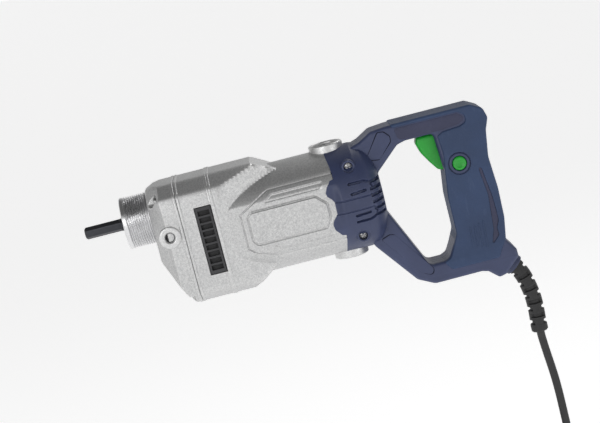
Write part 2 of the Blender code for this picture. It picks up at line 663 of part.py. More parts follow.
def armature():
    """Everything that turns with the motor shaft."""
    front_journal = FRONT_ARMATURE_BEARING[1] - PRESS_GAP
    rear_journal = REAR_ARMATURE_BEARING[1] - PRESS_GAP
    rear_shoulder = REAR_SHAFT_END - REAR_ARMATURE_BEARING[2] - 1 * MM
    profile = [
        (GEAR_START - 1.2 * MM, 0.0), (GEAR_START - 1.2 * MM, PINION_SEAT), (GEAR_CASE_FRONT, PINION_SEAT),
        (GEAR_CASE_FRONT, front_journal), (BEARING_BOSS_BACK + MM, front_journal),
        (BEARING_BOSS_BACK + MM, ARMATURE_SHAFT_RADIUS), (rear_shoulder, ARMATURE_SHAFT_RADIUS),
        (rear_shoulder, rear_journal), (REAR_SHAFT_END, rear_journal), (REAR_SHAFT_END, 0.0),
    ]
    finish(turned("armature_shaft", profile, "X", MOTOR_AXIS, 24), "steel")
    half_tooth = math.pi / PINION_TEETH
    gear("pinion", PINION_TEETH, GEAR_START - 0.5 * MM, GEAR_END + 0.5 * MM, PINION_SEAT + GAP, MOTOR_AXIS,
         math.radians(90) + half_tooth, "steel")
    outer, bore, width = FRONT_ARMATURE_BEARING
    end = BEARING_BOSS_BACK - 0.2 * MM
    finish(ring("armature_bearing_front", end - width, end, outer, bore, "X", MOTOR_AXIS), "steel")
    outer, bore, width = REAR_ARMATURE_BEARING
    end = REAR_SHAFT_END - 0.5 * MM
    finish(ring("armature_bearing_rear", end - width, end, outer, bore, "X", MOTOR_AXIS), "steel")

    seat = ARMATURE_SHAFT_RADIUS + GAP
    finish(ring("armature_core", CORE_START, CORE_END, CORE_RADIUS, seat, "X", MOTOR_AXIS), "core")
    for name, start, end in (("armature_winding_front", CORE_START - 9 * MM, CORE_START - GAP),
                             ("armature_winding_rear", CORE_END + GAP, CORE_END + 10 * MM)):
        finish(ring(name, start, end, CORE_RADIUS - 3 * MM, seat, "X", MOTOR_AXIS, 24), "copper")
    finish(ring("commutator", BRUSH_X - 11 * MM, BRUSH_X + 9 * MM, COMMUTATOR_RADIUS, seat, "X", MOTOR_AXIS,
                24), "copper")

    profile = [(FAN_BACK - 10.5 * MM, seat), (FAN_BACK - 10.5 * MM, 11 * MM), (FAN_BACK - 2 * MM, 13 * MM),
               (FAN_BACK - 1.5 * MM, FAN_RADIUS), (FAN_BACK, FAN_RADIUS), (FAN_BACK, seat)]
    fan = turned("cooling_fan", profile, "X", MOTOR_AXIS, 28)
    for index in range(FAN_BLADES):
        blade = block(f"blade_{index}", (FAN_BACK - 10 * MM, -0.8 * MM, 12 * MM),
                      (FAN_BACK - 0.7 * MM, 0.8 * MM, FAN_RADIUS - MM), CUTTERS)
        blade.matrix_world = (Matrix.Translation((0, 0, MOTOR_Z))
                              @ Matrix.Rotation(2 * math.pi * index / FAN_BLADES, 4, "X"))
        unite(fan, blade)
    finish(fan, "black")


FAN_BLADES = 9


def field():
    """Stator core with two poles and a coil round each pole."""
    core = ring("stator_core", CORE_START, CORE_END, STATOR_RADIUS, STATOR_RADIUS - YOKE_WALL, "X", MOTOR_AXIS, 48)
    for side in (-1, 1):
        near, far = sorted((side * (CORE_RADIUS - 3 * MM), side * (STATOR_RADIUS - 3.5 * MM)))
        pole = block("pole", (CORE_START, near, MOTOR_Z - POLE_HALF_HEIGHT),
                     (CORE_END, far, MOTOR_Z + POLE_HALF_HEIGHT), CUTTERS)
        unite(core, pole)
    cut(core, rod("rotor_bore", "X", CORE_START - MM, CORE_END + MM, CORE_RADIUS + 0.6 * MM, MOTOR_AXIS, 40,
                  CUTTERS))
    finish(core, "core")
    coil_radius = STATOR_RADIUS - FIELD_COIL_DEPTH
    spread = math.asin((POLE_HALF_HEIGHT + POLE_TO_COIL + FIELD_COIL_WIRE) / coil_radius)
    overhang = 6 * MM
    for side, name in ((-1, "field_coil_left"), (1, "field_coil_right")):
        points = []
        for x, sense in ((CORE_START - overhang, 1), (CORE_END + overhang, -1)):
            for step in range(9):
                angle = sense * spread * (step / 4 - 1)
                points.append((x, side * coil_radius * math.cos(angle),
                               MOTOR_Z + coil_radius * math.sin(angle)))
        finish(tube(name, points, FIELD_COIL_WIRE, 1, cyclic=True), "copper")


def brushes():
    """Carbon brushes with their holders, springs and caps, above and below."""
    place = (BRUSH_X, 0.0)
    for side, word in ((1, "upper"), (-1, "lower")):
        def level(reach):
            return MOTOR_Z + side * reach
        finish(ring(f"brush_holder_{word}", level(16 * MM), level(45.5 * MM), 7 * MM, 5.6 * MM, "Z", place, 24),
               "brass")
        low, high = sorted((level(COMMUTATOR_RADIUS + 0.4 * MM), level(27 * MM)))
        finish(block(f"carbon_brush_{word}", (BRUSH_X - 4 * MM, -3 * MM, low), (BRUSH_X + 4 * MM, 3 * MM, high)),
               "carbon")
        turns, steps = 4, 8
        points = []
        for index in range(turns * steps + 1):
            angle = 2 * math.pi * index / steps
            reach = 27.9 * MM + 15.6 * MM * index / (turns * steps)
            points.append((BRUSH_X + 3.6 * MM * math.cos(angle), 3.6 * MM * math.sin(angle), level(reach)))
        finish(tube(f"brush_spring_{word}", points, 0.45 * MM, 1), "steel")
        base = BRUSH_BOSS_TOP - 7 * MM + GAP
        cap = rod(f"brush_cap_{word}", "Z", level(base), level(base + 4.5 * MM), BRUSH_CAP_RADIUS, place, 32)
        cut(cap, block("cap_slot", (BRUSH_X - 8 * MM, -1 * MM, min(level(base + 3 * MM), level(base + 6 * MM))),
                       (BRUSH_X + 8 * MM, 1 * MM, max(level(base + 3 * MM), level(base + 6 * MM))), CUTTERS))
        finish(cap, "black")


def bearing_bridge():
    """Bracket behind the barrel that carries the rear armature bearing."""
    arm_out, arm_in = 42.5 * MM, 38.5 * MM
    front = MOTOR_CASE_BACK + GAP
    bar_front = BRUSH_X + 13 * MM
    bar_back = bar_front + 4 * MM
    outline = [(front, -arm_out), (bar_back, -arm_out), (bar_back, arm_out), (front, arm_out),
               (front, arm_in), (bar_front, arm_in), (bar_front, -arm_in), (front, -arm_in)]
    bridge = plate("bearing_bridge", [outline], MOTOR_Z - 12 * MM, MOTOR_Z + 12 * MM, "Z")
    outer, _, width = REAR_ARMATURE_BEARING
    seat = REAR_SHAFT_END - 0.5 * MM - width - GAP
    unite(bridge, rod("bearing_cup", "X", bar_front, REAR_SHAFT_END, outer + 3.5 * MM, MOTOR_AXIS, 32, CUTTERS))
    cut(bridge, rod("bearing_pocket", "X", seat, REAR_SHAFT_END + MM, outer + GAP, MOTOR_AXIS, 32, CUTTERS))
    cut(bridge, rod("shaft_way", "X", bar_front - MM, seat + MM, 9 * MM, MOTOR_AXIS, 24, CUTTERS))
    return finish(bridge, "cast")


# ---- handle -----------------------------------------------------------------------
# Outline of the frame in millimetres from the grip's middle: x, z, corner radius.
FRAME_OUTLINE = [
    (-100, 66, 0), (-89, 69.5, 6), (-77, 76.5, 8), (-62, 78.2, 6), (16, 78.4, 5), (26.5, 72.5, 5),
    (29.2, 63, 5), (25, 52, 8), (21.5, 28, 20), (23.6, -2, 30), (23, -30, 20), (20, -50, 6),
    (28, -62, 4), (28.2, -69, 2), (14, -82.3, 2), (7, -84, 3), (-2, -76, 4), (-8, -74.5, 4),
    (-52, -74.8, 10), (-67, -67, 8), (-97, -27.5, 0), (-100, -20, 0),
]
OPENING_OUTLINE = [
    (-79, 1, 5), (-79, 38, 5), (-56, 58.5, 6), (-48, 60.5, 5), (-22, 60.5, 4), (-19.5, 24, 14),
    (-22, 0, 20), (-22, -34, 12), (-35, -56.5, 9), (-53, -56.5, 7),
]
CAVITY_OUTLINE = [
    (-96, 60, 0), (-86, 66, 4), (-75, 72.5, 5), (-60, 74.6, 5), (15, 74.8, 4), (23, 70, 4), (25.4, 63, 4),
    (21.5, 52, 8), (18, 28, 20), (20, -2, 30), (19.5, -30, 20), (16.5, -50, 6), (16, -60, 4),
    (10, -71, 3), (-52, -71.2, 8), (-64, -65, 6), (-93, -26, 0),
]
CAVITY_ISLAND = [
    (-82.5, 0, 4), (-82.5, 39.6, 5), (-58, 62, 6), (-49, 64, 5), (-18.5, 64, 3), (-16, 24, 14),
    (-18.5, 0, 20), (-18.5, -33, 12), (-33, -60, 10), (-55, -60, 7),
]
PAD_OUTLINE = [
    (-50, 68, 3), (-46, 75, 3), (15, 75, 5), (23.5, 70, 5), (25.6, 63, 5), (21.5, 52, 8), (18, 28, 20),
    (20, -2, 30), (19.5, -30, 20), (15.5, -48, 3), (8, -48, 4), (12, -20, 20), (11, 20, 20), (8, 60, 8),
    (0, 67.5, 6),
]
HANDLE_CAVITY = 16.5 * MM                      # half width of the hollow
VENT_LEVELS = [18 * MM, 8.5 * MM, -11.5 * MM, -17.5 * MM]
HOUSING_SCREW_REACH = STATOR_RADIUS - 7 * MM
HOUSING_SCREWS = [(BRUSH_X + 14.5 * MM, MOTOR_Z + HOUSING_SCREW_REACH),
                  (BRUSH_X + 13 * MM, MOTOR_Z - HOUSING_SCREW_REACH)]
GRIP_SCREWS = [(17 * MM, 69 * MM), (-40 * MM, -65.5 * MM), (5 * MM, -66 * MM)]
BUTTON_PLACE = (-5 * MM, 28.5 * MM)
GLAND_POINT = (21 * MM, -75.6 * MM)
GLAND_ANGLE = math.radians(-47)
RELIEF_ROUTE = [(13.5, -67.6), (21, -75.8), (26.5, -84), (30.2, -92), (32.6, -102), (34.2, -112),
                (34.6, -122), (34.2, -132), (33.7, -140), (33.7, -146.5)]


def in_metres(outline):
    return [(x * MM, z * MM, radius * MM) for x, z, radius in outline]


def bowl_line(inset, front):
    """Half section of the round front part, drawn in by inset."""
    radius = BOWL_RADIUS - inset
    back = HANDLE_BACK_WALL - inset
    return [(front, radius), (back - 20 * MM, radius), (back - 11 * MM, radius - 3 * MM),
            (back - 4 * MM, radius - 10 * MM), (back, radius - 20 * MM), (back, 0.0)]


def handle_tools():
    """The solids that shape both halves of the handle, in the order they act."""
    boss_reach = STATOR_RADIUS - 2 * MM
    middle = [(HANDLE_FRONT, 0.0), *bowl_line(HANDLE_WALL / 2, HANDLE_FRONT)]
    skin = bowl_line(HANDLE_WALL, HANDLE_FRONT)[::-1] + bowl_line(0.0, HANDLE_FRONT)
    tools = [("DIFFERENCE", turned("bowl_middle", middle, "X", MOTOR_AXIS, 44, CUTTERS))]
    tools.append(("UNION", turned("bowl_skin", skin, "X", MOTOR_AXIS, 48, CUTTERS)))
    hollow = plate("frame_hollow", [fillet(in_metres(CAVITY_OUTLINE)), fillet(in_metres(CAVITY_ISLAND))],
                   -HANDLE_CAVITY, HANDLE_CAVITY, group=CUTTERS)
    tools.append(("DIFFERENCE", hollow))
    for side in (-1, 1):
        notch = rod("boss_notch", "Z", MOTOR_Z + side * boss_reach, MOTOR_Z + side * (BRUSH_BOSS_TOP + 9 * MM),
                    BRUSH_BOSS_RADIUS + GAP, (BRUSH_X, 0.0), 32, CUTTERS)
        tools.append(("DIFFERENCE", notch))
    slot = block("trigger_slot", (-24 * MM, -TRIGGER_HALF_WIDTH - 0.5 * MM, 23 * MM),
                 (-12 * MM, TRIGGER_HALF_WIDTH + 0.5 * MM, 60.2 * MM), CUTTERS)
    tools.append(("DIFFERENCE", slot))
    tools.append(("DIFFERENCE", rod("button_hole", "Y", -HANDLE_HALF_WIDTH - 4 * MM, -14 * MM,
                                    BUTTON_RADIUS + GAP, BUTTON_PLACE, 32, CUTTERS)))
    for level in VENT_LEVELS:
        for side in (-1, 1):
            near, far = sorted((side * 38 * MM, side * 52 * MM))
            slot = block("side_slot", (HANDLE_BACK_WALL - 29 * MM, near, MOTOR_Z + level - 1.1 * MM),
                         (HANDLE_BACK_WALL - 12 * MM, far, MOTOR_Z + level + 1.1 * MM), CUTTERS)
            tools.append(("DIFFERENCE", slot))
    for index in range(6):
        level = MOTOR_Z + (index - 2.5) * 6 * MM
        tools.append(("DIFFERENCE", block("louvre", (HANDLE_BACK_WALL - 6 * MM, -13 * MM, level - 1.3 * MM),
                                          (HANDLE_BACK_WALL + MM, 13 * MM, level + 1.3 * MM), CUTTERS)))
    for place in HOUSING_SCREWS + GRIP_SCREWS:
        reach = 36 * MM if place in HOUSING_SCREWS else HANDLE_CAVITY + MM
        tools.append(("UNION", rod("screw_boss", "Y", -reach, reach, 4.6 * MM, place, 20, CUTTERS)))
    for place in HOUSING_SCREWS:
        tools.append(("DIFFERENCE", rod("head_recess", "Y", -52 * MM, -SCREW_SEAT_FRONT, 4 * MM, place, 20,
                                        CUTTERS)))
        tools.append(("DIFFERENCE", rod("screw_way", "Y", -40 * MM, 12 * MM, 2 * MM, place, 12, CUTTERS)))
    for place in GRIP_SCREWS:
        tools.append(("DIFFERENCE", rod("head_recess", "Y", SCREW_SEAT_GRIP, HANDLE_HALF_WIDTH + 4 * MM, 4 * MM,
                                        place, 20, CUTTERS)))
        tools.append(("DIFFERENCE", rod("screw_way", "Y", -12 * MM, SCREW_SEAT_GRIP + MM, 2 * MM, place, 12,
                                        CUTTERS)))
    inner = Vector((GLAND_POINT[0], 0, GLAND_POINT[1]))
    turn = Matrix.Rotation(-GLAND_ANGLE + math.radians(90), 4, "Y")
    bm = bmesh.new()
    bmesh.ops.create_cone(bm, cap_ends=True, segments=28, radius1=RELIEF_RADIUS + 0.5 * MM,
                          radius2=RELIEF_RADIUS + 0.5 * MM, depth=30 * MM,
                          matrix=Matrix.Translation(inner) @ turn)
    tools.append(("DIFFERENCE", from_bmesh("gland_hole", bm, CUTTERS)))
    return tools


SCREW_SEAT_FRONT = 32 * MM
SCREW_SEAT_GRIP = 14 * MM


def handle():
    """Two half shells that meet on the middle plane, with their grip pads."""
    tools = handle_tools()
    opening = fillet(in_metres(OPENING_OUTLINE))
    for side, word in ((-1, "left"), (1, "right")):
        shell = plate(f"handle_shell_{word}", [fillet(in_metres(FRAME_OUTLINE)), opening],
                      -HANDLE_HALF_WIDTH, HANDLE_HALF_WIDTH)
        bevel(shell, HANDLE_BEVEL, 2, 60)
        for operation, tool in tools:
            boolean(shell, tool, operation)
        near, far = sorted((-side * 60 * MM, side * GAP / 2))
        cut(shell, block(f"other_side_{word}", (-200 * MM, near, -120 * MM), (60 * MM, far, 120 * MM), CUTTERS))
        finish(shell, "shell")
        face = side * (HANDLE_HALF_WIDTH + GAP)
        pad = plate(f"grip_pad_{word}", [fillet(in_metres(PAD_OUTLINE))], face, face + side * PAD_THICKNESS)
        if side > 0:
            cut(pad, rod("pad_relief", "Y", SCREW_SEAT_GRIP, HANDLE_HALF_WIDTH + 10 * MM, 4 * MM,
                         GRIP_SCREWS[0], 20, CUTTERS))
        finish(pad, "pad")


TRIGGER_OUTLINE = [(-14, 24.5, 0), (-14, 59.3, 0), (-37, 59.3, 3), (-39, 54, 5), (-36, 44, 12), (-30, 34, 12),
                   (-24, 25.5, 4), (-20, 24.5, 2)]


def controls():
    """Trigger, lock button, the switch they work and the suppressor."""
    trigger = plate("trigger", [fillet(in_metres(TRIGGER_OUTLINE))], -TRIGGER_HALF_WIDTH, TRIGGER_HALF_WIDTH)
    finish(bevel(trigger, 1.5 * MM, 2, 60), "green")
    button = rod("lock_button", "Y", -HANDLE_HALF_WIDTH - 1.8 * MM, -12.5 * MM, BUTTON_RADIUS, BUTTON_PLACE, 32)
    finish(button, "green")
    switch_front = -14 * MM + TRIGGER_TRAVEL + 1.5 * MM
    finish(block("switch_body", (switch_front, -7.5 * MM, 24 * MM), (13 * MM, 7.5 * MM, 57 * MM)), "black")
    finish(block("suppressor_capacitor", (-32 * MM, -7 * MM, -70.6 * MM), (-8 * MM, 7 * MM, -60.9 * MM)),
           "seal")


def screws():
    """Cross-head screws of the nose cover and of the handle halves."""
    def screw(name, axis, seat, way, length, place, head, shank):
        half = head * 0.95
        profile = [(0.0, 0.0), (0.0, half * 0.75), (way * 0.8 * MM, half), (way * 2.6 * MM, half),
                   (way * 2.6 * MM, shank), (way * length, shank), (way * length, 0.0)]
        start = seat - way * 2.6 * MM - way * GAP
        body = turned(name, [(start + along, radius) for along, radius in profile], axis, place, 14)
        finish(body, "steel")

    for index, place in enumerate(NOSE_SCREWS):
        screw(f"nose_screw_{index + 1}", "X", nose_screw_seat(place), 1, 12 * MM, place, 4.2 * MM, 2 * MM)
    for index, place in enumerate(HOUSING_SCREWS):
        screw(f"housing_screw_{index + 1}", "Y", -SCREW_SEAT_FRONT, 1, 42 * MM, place, 3.7 * MM, 1.7 * MM)
    for index, place in enumerate(GRIP_SCREWS):
        screw(f"grip_screw_{index + 1}", "Y", SCREW_SEAT_GRIP, -1, 24 * MM, place, 3.7 * MM, 1.7 * MM)


# ---- cord -------------------------------------------------------------------------

CORD_ROUTE = [(33.7, 0, -147), (33.7, 0, -152), (34.2, 0, -160), (35.0, 0, -170), (35.9, 0, -180),
              (36.7, 0, -190), (37.2, 0, -200), (37.5, 0, -212), (37.5, 0, -226), (37.5, 0, -240),
              (37.5, 0, -254), (37.5, 0, -264)]
COIL_CENTRE = (37.5 * MM - COIL_OUTER_TURN, -295 * MM)
COIL_INNER_TURN = COIL_OUTER_TURN - (COIL_LAYERS - 1) * CORD_PITCH
COIL_DEPTH = (COIL_COLUMNS - 1) * CORD_PITCH
PLUG_X = COIL_CENTRE[0] + COIL_OUTER_TURN
PLUG_Y = COIL_DEPTH + CORD_RADIUS + 12 * MM
PLUG_TOP = COIL_CENTRE[1] + 12 * MM


def cord():
    """Strain relief, free cord, its coil, the tie and the plug."""
    relief = [Vector((x * MM, 0, z * MM)) for x, z in RELIEF_ROUTE]
    route = smooth_route(relief, 5 * MM)
    finish(tube("strain_relief", route, RELIEF_RADIUS, 3), "rubber")
    hang = [Vector(p) * MM for p in CORD_ROUTE]
    finish(tube("power_cord", smooth_route(hang, 9 * MM), CORD_RADIUS, 3), "rubber")
    inner = COIL_INNER_TURN - CORD_RADIUS
    outer = COIL_OUTER_TURN + CORD_RADIUS
    finish(ring("cord_coil", -CORD_RADIUS, COIL_DEPTH + CORD_RADIUS, outer, inner, "Y", COIL_CENTRE, 40),
           "rubber")
    half = 5 * MM
    wall = 1.2 * MM
    slack = 0.8 * MM
    tie = block("cord_tie", (COIL_CENTRE[0] - half, -CORD_RADIUS - slack - wall, COIL_CENTRE[1] + inner - slack - wall),
                (COIL_CENTRE[0] + half, COIL_DEPTH + CORD_RADIUS + slack + wall, COIL_CENTRE[1] + outer + slack + wall))
    cut(tie, block("tie_inside", (COIL_CENTRE[0] - 2 * half, -CORD_RADIUS - slack, COIL_CENTRE[1] + inner - slack),
                   (COIL_CENTRE[0] + 2 * half, COIL_DEPTH + CORD_RADIUS + slack, COIL_CENTRE[1] + outer + slack),
                   CUTTERS))
    finish(tie, "black")
    profile = [(PLUG_TOP, 0.0), (PLUG_TOP, 5.5 * MM), (PLUG_TOP - 12 * MM, 8 * MM), (PLUG_TOP - 20 * MM, 11.5 * MM),
               (PLUG_TOP - 42 * MM, 11.5 * MM), (PLUG_TOP - 45 * MM, 10.5 * MM), (PLUG_TOP - 45 * MM, 0.0)]
    finish(turned("plug_body", profile, "Z", (PLUG_X, PLUG_Y), 28), "rubber")
    for side in (-1, 1):
        finish(rod(f"plug_pin_{1 if side < 0 else 2}", "Z", PLUG_TOP - 45.3 * MM, PLUG_TOP - 64 * MM, 2.4 * MM,
                   (PLUG_X + side * 6.5 * MM, PLUG_Y), 16), "brass")


PARTS = None
CUTTERS = None


def build():
    """Make every piece of the tool."""
    global PARTS, CUTTERS
    clear_scene()
    PARTS = new_collection("concrete_vibrator")
    CUTTERS = new_collection("cutters")
    threaded_nose()
    nose_cover()
    gearbox_gasket()
    gear_housing()
    vent_grilles()
    motor_housing()
    spindle_train()
    armature()
    field()
    brushes()
    bearing_bridge()
    handle()
    controls()
    screws()
    cord()


build()
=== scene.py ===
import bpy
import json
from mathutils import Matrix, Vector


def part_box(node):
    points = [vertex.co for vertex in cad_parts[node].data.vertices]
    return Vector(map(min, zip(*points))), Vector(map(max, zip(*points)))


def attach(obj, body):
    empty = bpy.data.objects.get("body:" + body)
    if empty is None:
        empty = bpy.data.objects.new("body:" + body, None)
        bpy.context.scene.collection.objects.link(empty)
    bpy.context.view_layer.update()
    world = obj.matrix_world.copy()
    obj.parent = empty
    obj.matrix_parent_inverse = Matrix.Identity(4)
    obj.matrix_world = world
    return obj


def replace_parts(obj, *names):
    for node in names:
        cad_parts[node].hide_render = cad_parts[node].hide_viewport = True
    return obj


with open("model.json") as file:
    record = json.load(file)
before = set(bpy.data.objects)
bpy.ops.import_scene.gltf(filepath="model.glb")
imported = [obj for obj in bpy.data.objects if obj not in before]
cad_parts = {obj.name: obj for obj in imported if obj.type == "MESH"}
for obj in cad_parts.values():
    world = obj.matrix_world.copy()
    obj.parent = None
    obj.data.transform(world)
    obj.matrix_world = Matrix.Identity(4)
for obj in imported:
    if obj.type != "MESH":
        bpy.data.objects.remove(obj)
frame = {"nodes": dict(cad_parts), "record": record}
"""The looks of a concrete vibrator's drive unit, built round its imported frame.

Each sub-assembly is a class that makes its own surfaces with numpy and dresses them.
X runs along the motor from the nose to the handle, Z is up, lengths are in metres.
"""
import json
import logging
import math
from dataclasses import dataclass
from enum import Enum
from typing import Callable, Optional, Sequence

import bmesh
import bpy
import numpy as np
from mathutils import Matrix, Vector
from mathutils.geometry import tessellate_polygon

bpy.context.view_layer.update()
LOG = logging.getLogger("vibrator")
MM = 0.001
WELD = 0.00001
Colour = tuple[float, float, float]
Place = tuple[float, float]
Corner = tuple[float, float, float]
Line = tuple[Corner, ...]


# ---- shader maths -------------------------------------------------------------
class Tap:
    """One output socket of a node tree, with arithmetic that adds Math nodes."""

    def __init__(self, graph: "Graph", socket: bpy.types.NodeSocket) -> None:
        """Keep the socket and the graph it belongs to."""
        self.graph = graph
        self.socket = socket

    def _math(self, operation: str, first: object, second: object = 0.0) -> "Tap":
        """Add one Math node that works on two values or taps."""
        return self.graph.node("ShaderNodeMath", {"operation": operation}, {0: first, 1: second})

    def __add__(self, other: object) -> "Tap":
        """Sum."""
        return self._math("ADD", self, other)

    def __sub__(self, other: object) -> "Tap":
        """Difference."""
        return self._math("SUBTRACT", self, other)

    def __rsub__(self, other: object) -> "Tap":
        """Difference with the tap on the right."""
        return self._math("SUBTRACT", other, self)

    def __mul__(self, other: object) -> "Tap":
        """Product."""
        return self._math("MULTIPLY", self, other)

    def __truediv__(self, other: object) -> "Tap":
        """Quotient."""
        return self._math("DIVIDE", self, other)

    __radd__ = __add__
    __rmul__ = __mul__

    def power(self, exponent: float) -> "Tap":
        """Raise to a power."""
        return self._math("POWER", self, exponent)

    def above(self, limit: float) -> "Tap":
        """One where the value is over limit, else nothing."""
        return self._math("GREATER_THAN", self, limit)

    def ramp(self, low: float, high: float, to_low: float = 0.0, to_high: float = 1.0) -> "Tap":
        """Map the range low..high to to_low..to_high, held at its ends."""
        return self.graph.node("ShaderNodeMapRange", {"clamp": True},
                               {0: self, 1: low, 2: high, 3: to_low, 4: to_high})

    def part(self, name: str) -> "Tap":
        """Another output of the same node, by name."""
        return Tap(self.graph, self.socket.node.outputs[name])


class Graph:
    """A material's node tree that ends in one Principled shader."""

    def __init__(self, name: str) -> None:
        """Make the material with a bare Principled shader."""
        self.material = bpy.data.materials.new(name)
        self.material.use_nodes = True
        self.tree = self.material.node_tree
        self.shader = self.tree.nodes["Principled BSDF"]

    def node(self, kind: str, settings: dict[str, object], inputs: dict[object, object]) -> Tap:
        """Add any node.

        Args:
            kind: the node's type.
            settings: its own properties, set first.
            inputs: values or taps of its sockets, by name or number.

        Returns:
            A tap on its first output.
        """
        new = self.tree.nodes.new(kind)
        for key, value in settings.items():
            setattr(new, key, value)
        for key, value in inputs.items():
            self.feed(new.inputs[key], value)
        return Tap(self, new.outputs[0])

    def feed(self, socket: bpy.types.NodeSocket, value: object) -> None:
        """Link a tap to a socket, or set its value."""
        if isinstance(value, Tap):
            self.tree.links.new(value.socket, socket)
        else:
            socket.default_value = value

    def where(self) -> Tap:
        """Object coordinates."""
        return self.node("ShaderNodeTexCoord", {}, {}).part("Object")

    def noise(self, scale: float, detail: float = 3.0, roughness: float = 0.55,
              stretch: Optional[Colour] = None) -> Tap:
        """Fractal noise on object coordinates.

        Args:
            scale: cells per metre.
            detail: octaves.
            roughness: strength of the finer octaves.
            stretch: scale of each axis, for brushed or drawn grain.

        Returns:
            The noise from 0 to 1.
        """
        place = self.where()
        if stretch is not None:
            place = self.node("ShaderNodeMapping", {}, {"Vector": place, "Scale": stretch})
        return self.node("ShaderNodeTexNoise", {}, {"Vector": place, "Scale": scale, "Detail": detail,
                                                    "Roughness": roughness})

    def cells(self, scale: float) -> Tap:
        """Distance to the nearest point of a cell pattern."""
        return self.node("ShaderNodeTexVoronoi", {}, {"Vector": self.where(), "Scale": scale})

    def mix(self, share: object, first: Colour, second: Colour) -> Tap:
        """Mix two colours or taps by share."""
        new = self.tree.nodes.new("ShaderNodeMix")
        new.data_type = "RGBA"
        self.feed(new.inputs[0], share)
        for index, value in ((6, first), (7, second)):
            self.feed(new.inputs[index], value if isinstance(value, Tap) else (*value, 1.0))
        return Tap(self, new.outputs[2])

    def bump(self, height: Tap, depth: float, under: Optional[Tap] = None) -> Tap:
        """Bump of a real depth in metres, laid over another one."""
        inputs = {"Height": height, "Strength": 1.0, "Distance": depth}
        if under is not None:
            inputs["Normal"] = under
        return self.node("ShaderNodeBump", {}, inputs)

    def edge_highlight(self) -> Tap:
        """How convex the surface is, from 0 in the flats to 1 on an edge; it drives a painted highlight that makes
        convex edges paler.
        """
        return self.node("ShaderNodeNewGeometry", {}, {}).part("Pointiness").ramp(0.505, 0.56)

    def close(self, base: object, roughness: object, normal: Optional[Tap] = None,
              **fixed: float) -> bpy.types.Material:
        """Finish the shader.

        Args:
            base: base colour, a tap or a colour.
            roughness: a tap or a number.
            normal: the bump.
            fixed: constant sockets, with underscores for spaces.

        Returns:
            The material.
        """
        self.feed(self.shader.inputs["Base Color"], base if isinstance(base, Tap) else (*base, 1.0))
        self.feed(self.shader.inputs["Roughness"], roughness)
        if normal is not None:
            self.feed(self.shader.inputs["Normal"], normal)
        for key, value in fixed.items():
            self.shader.inputs[key.replace("_", " ")].default_value = value
        if "Emission_Strength" in fixed:
            self.shader.inputs["Emission Color"].default_value = (1.0, 1.0, 1.0, 1.0)
        return self.material


# ---- finishes -------------------------------------------------------------------
@dataclass(frozen=True)
class CastAlloy:
    """Shot-blasted aluminium casting: bright grain, dark pits, and convex edges made paler as a painted highlight.
    """

    name: str
    light: Colour
    dark: Colour
    grain: float = 900.0
    depth: float = 0.00022
    roughness: float = 0.42

    def make(self) -> bpy.types.Material:
        """Build the material."""
        graph = Graph(self.name)
        fine = graph.noise(self.grain, 2.0, 0.6)
        coarse = graph.noise(self.grain * 0.35, 3.0, 0.6)
        cloud = graph.noise(14.0, 2.0)
        pits = graph.cells(self.grain * 0.55).ramp(0.0, 0.35)
        tone = (fine * 0.55 + coarse * 0.45).ramp(0.36, 0.64)
        # painted highlight: the edge term makes the convex edges of the casting paler
        tone = (tone * 0.85 + cloud * 0.3) * pits.ramp(0.0, 1.0, 0.75, 1.0) + graph.edge_highlight() * 0.35
        normal = graph.bump(coarse * 0.6 + fine * 0.4, self.depth)
        return graph.close(graph.mix(tone, self.dark, self.light),
                           (self.roughness + 0.12) - tone * 0.15, normal, Metallic=0.85)


@dataclass(frozen=True)
class TurnedMetal:
    """Machined or ground metal with fine tool marks along one direction."""

    name: str
    colour: Colour
    roughness: float = 0.25
    stretch: Colour = (1.0, 0.03, 0.03)
    metallic: float = 1.0

    def make(self) -> bpy.types.Material:
        """Build the material."""
        graph = Graph(self.name)
        marks = graph.noise(2600.0, 2.0, 0.5, self.stretch)
        smudge = graph.noise(60.0, 3.0)
        dull = tuple(0.72 * part for part in self.colour)
        tone = (marks * 0.6 + smudge * 0.4).ramp(0.3, 0.7)
        normal = graph.bump(marks, 0.00003)
        return graph.close(graph.mix(tone, dull, self.colour), smudge.ramp(0.3, 0.7, self.roughness,
                           self.roughness + 0.14), normal, Metallic=self.metallic)


@dataclass(frozen=True)
class Moulded:
    """Moulded plastic or rubber with spark-eroded grain, scuffs, and convex edges made paler as a painted
    highlight.
    """

    name: str
    colour: Colour
    roughness: float = 0.45
    grain: float = 1500.0
    depth: float = 0.00008
    # strength of the painted highlight on convex edges
    highlight_share: float = 0.35
    specular: float = 0.5

    def make(self) -> bpy.types.Material:
        """Build the material."""
        graph = Graph(self.name)
        grain = graph.noise(self.grain, 2.0, 0.6)
        cloud = graph.noise(25.0, 3.0)
        scuff = graph.noise(160.0, 4.0, 0.7, (1.0, 1.0, 0.35)).ramp(0.58, 0.75)
        dark = tuple(0.8 * part for part in self.colour)
        pale = tuple(min(1.0, 1.5 * part + 0.03) for part in self.colour)
        base = graph.mix(cloud.ramp(0.35, 0.65), dark, self.colour)
        # paler where scuffed (real wear) and on convex edges (painted highlight)
        base = graph.mix((scuff * 0.18 + graph.edge_highlight() * self.highlight_share).ramp(0.0, 1.0), base, pale)
        rough = grain.ramp(0.3, 0.7, self.roughness - 0.05, self.roughness + 0.08) - scuff * 0.06
        return graph.close(base, rough, graph.bump(grain, self.depth), Specular_IOR_Level=self.specular)


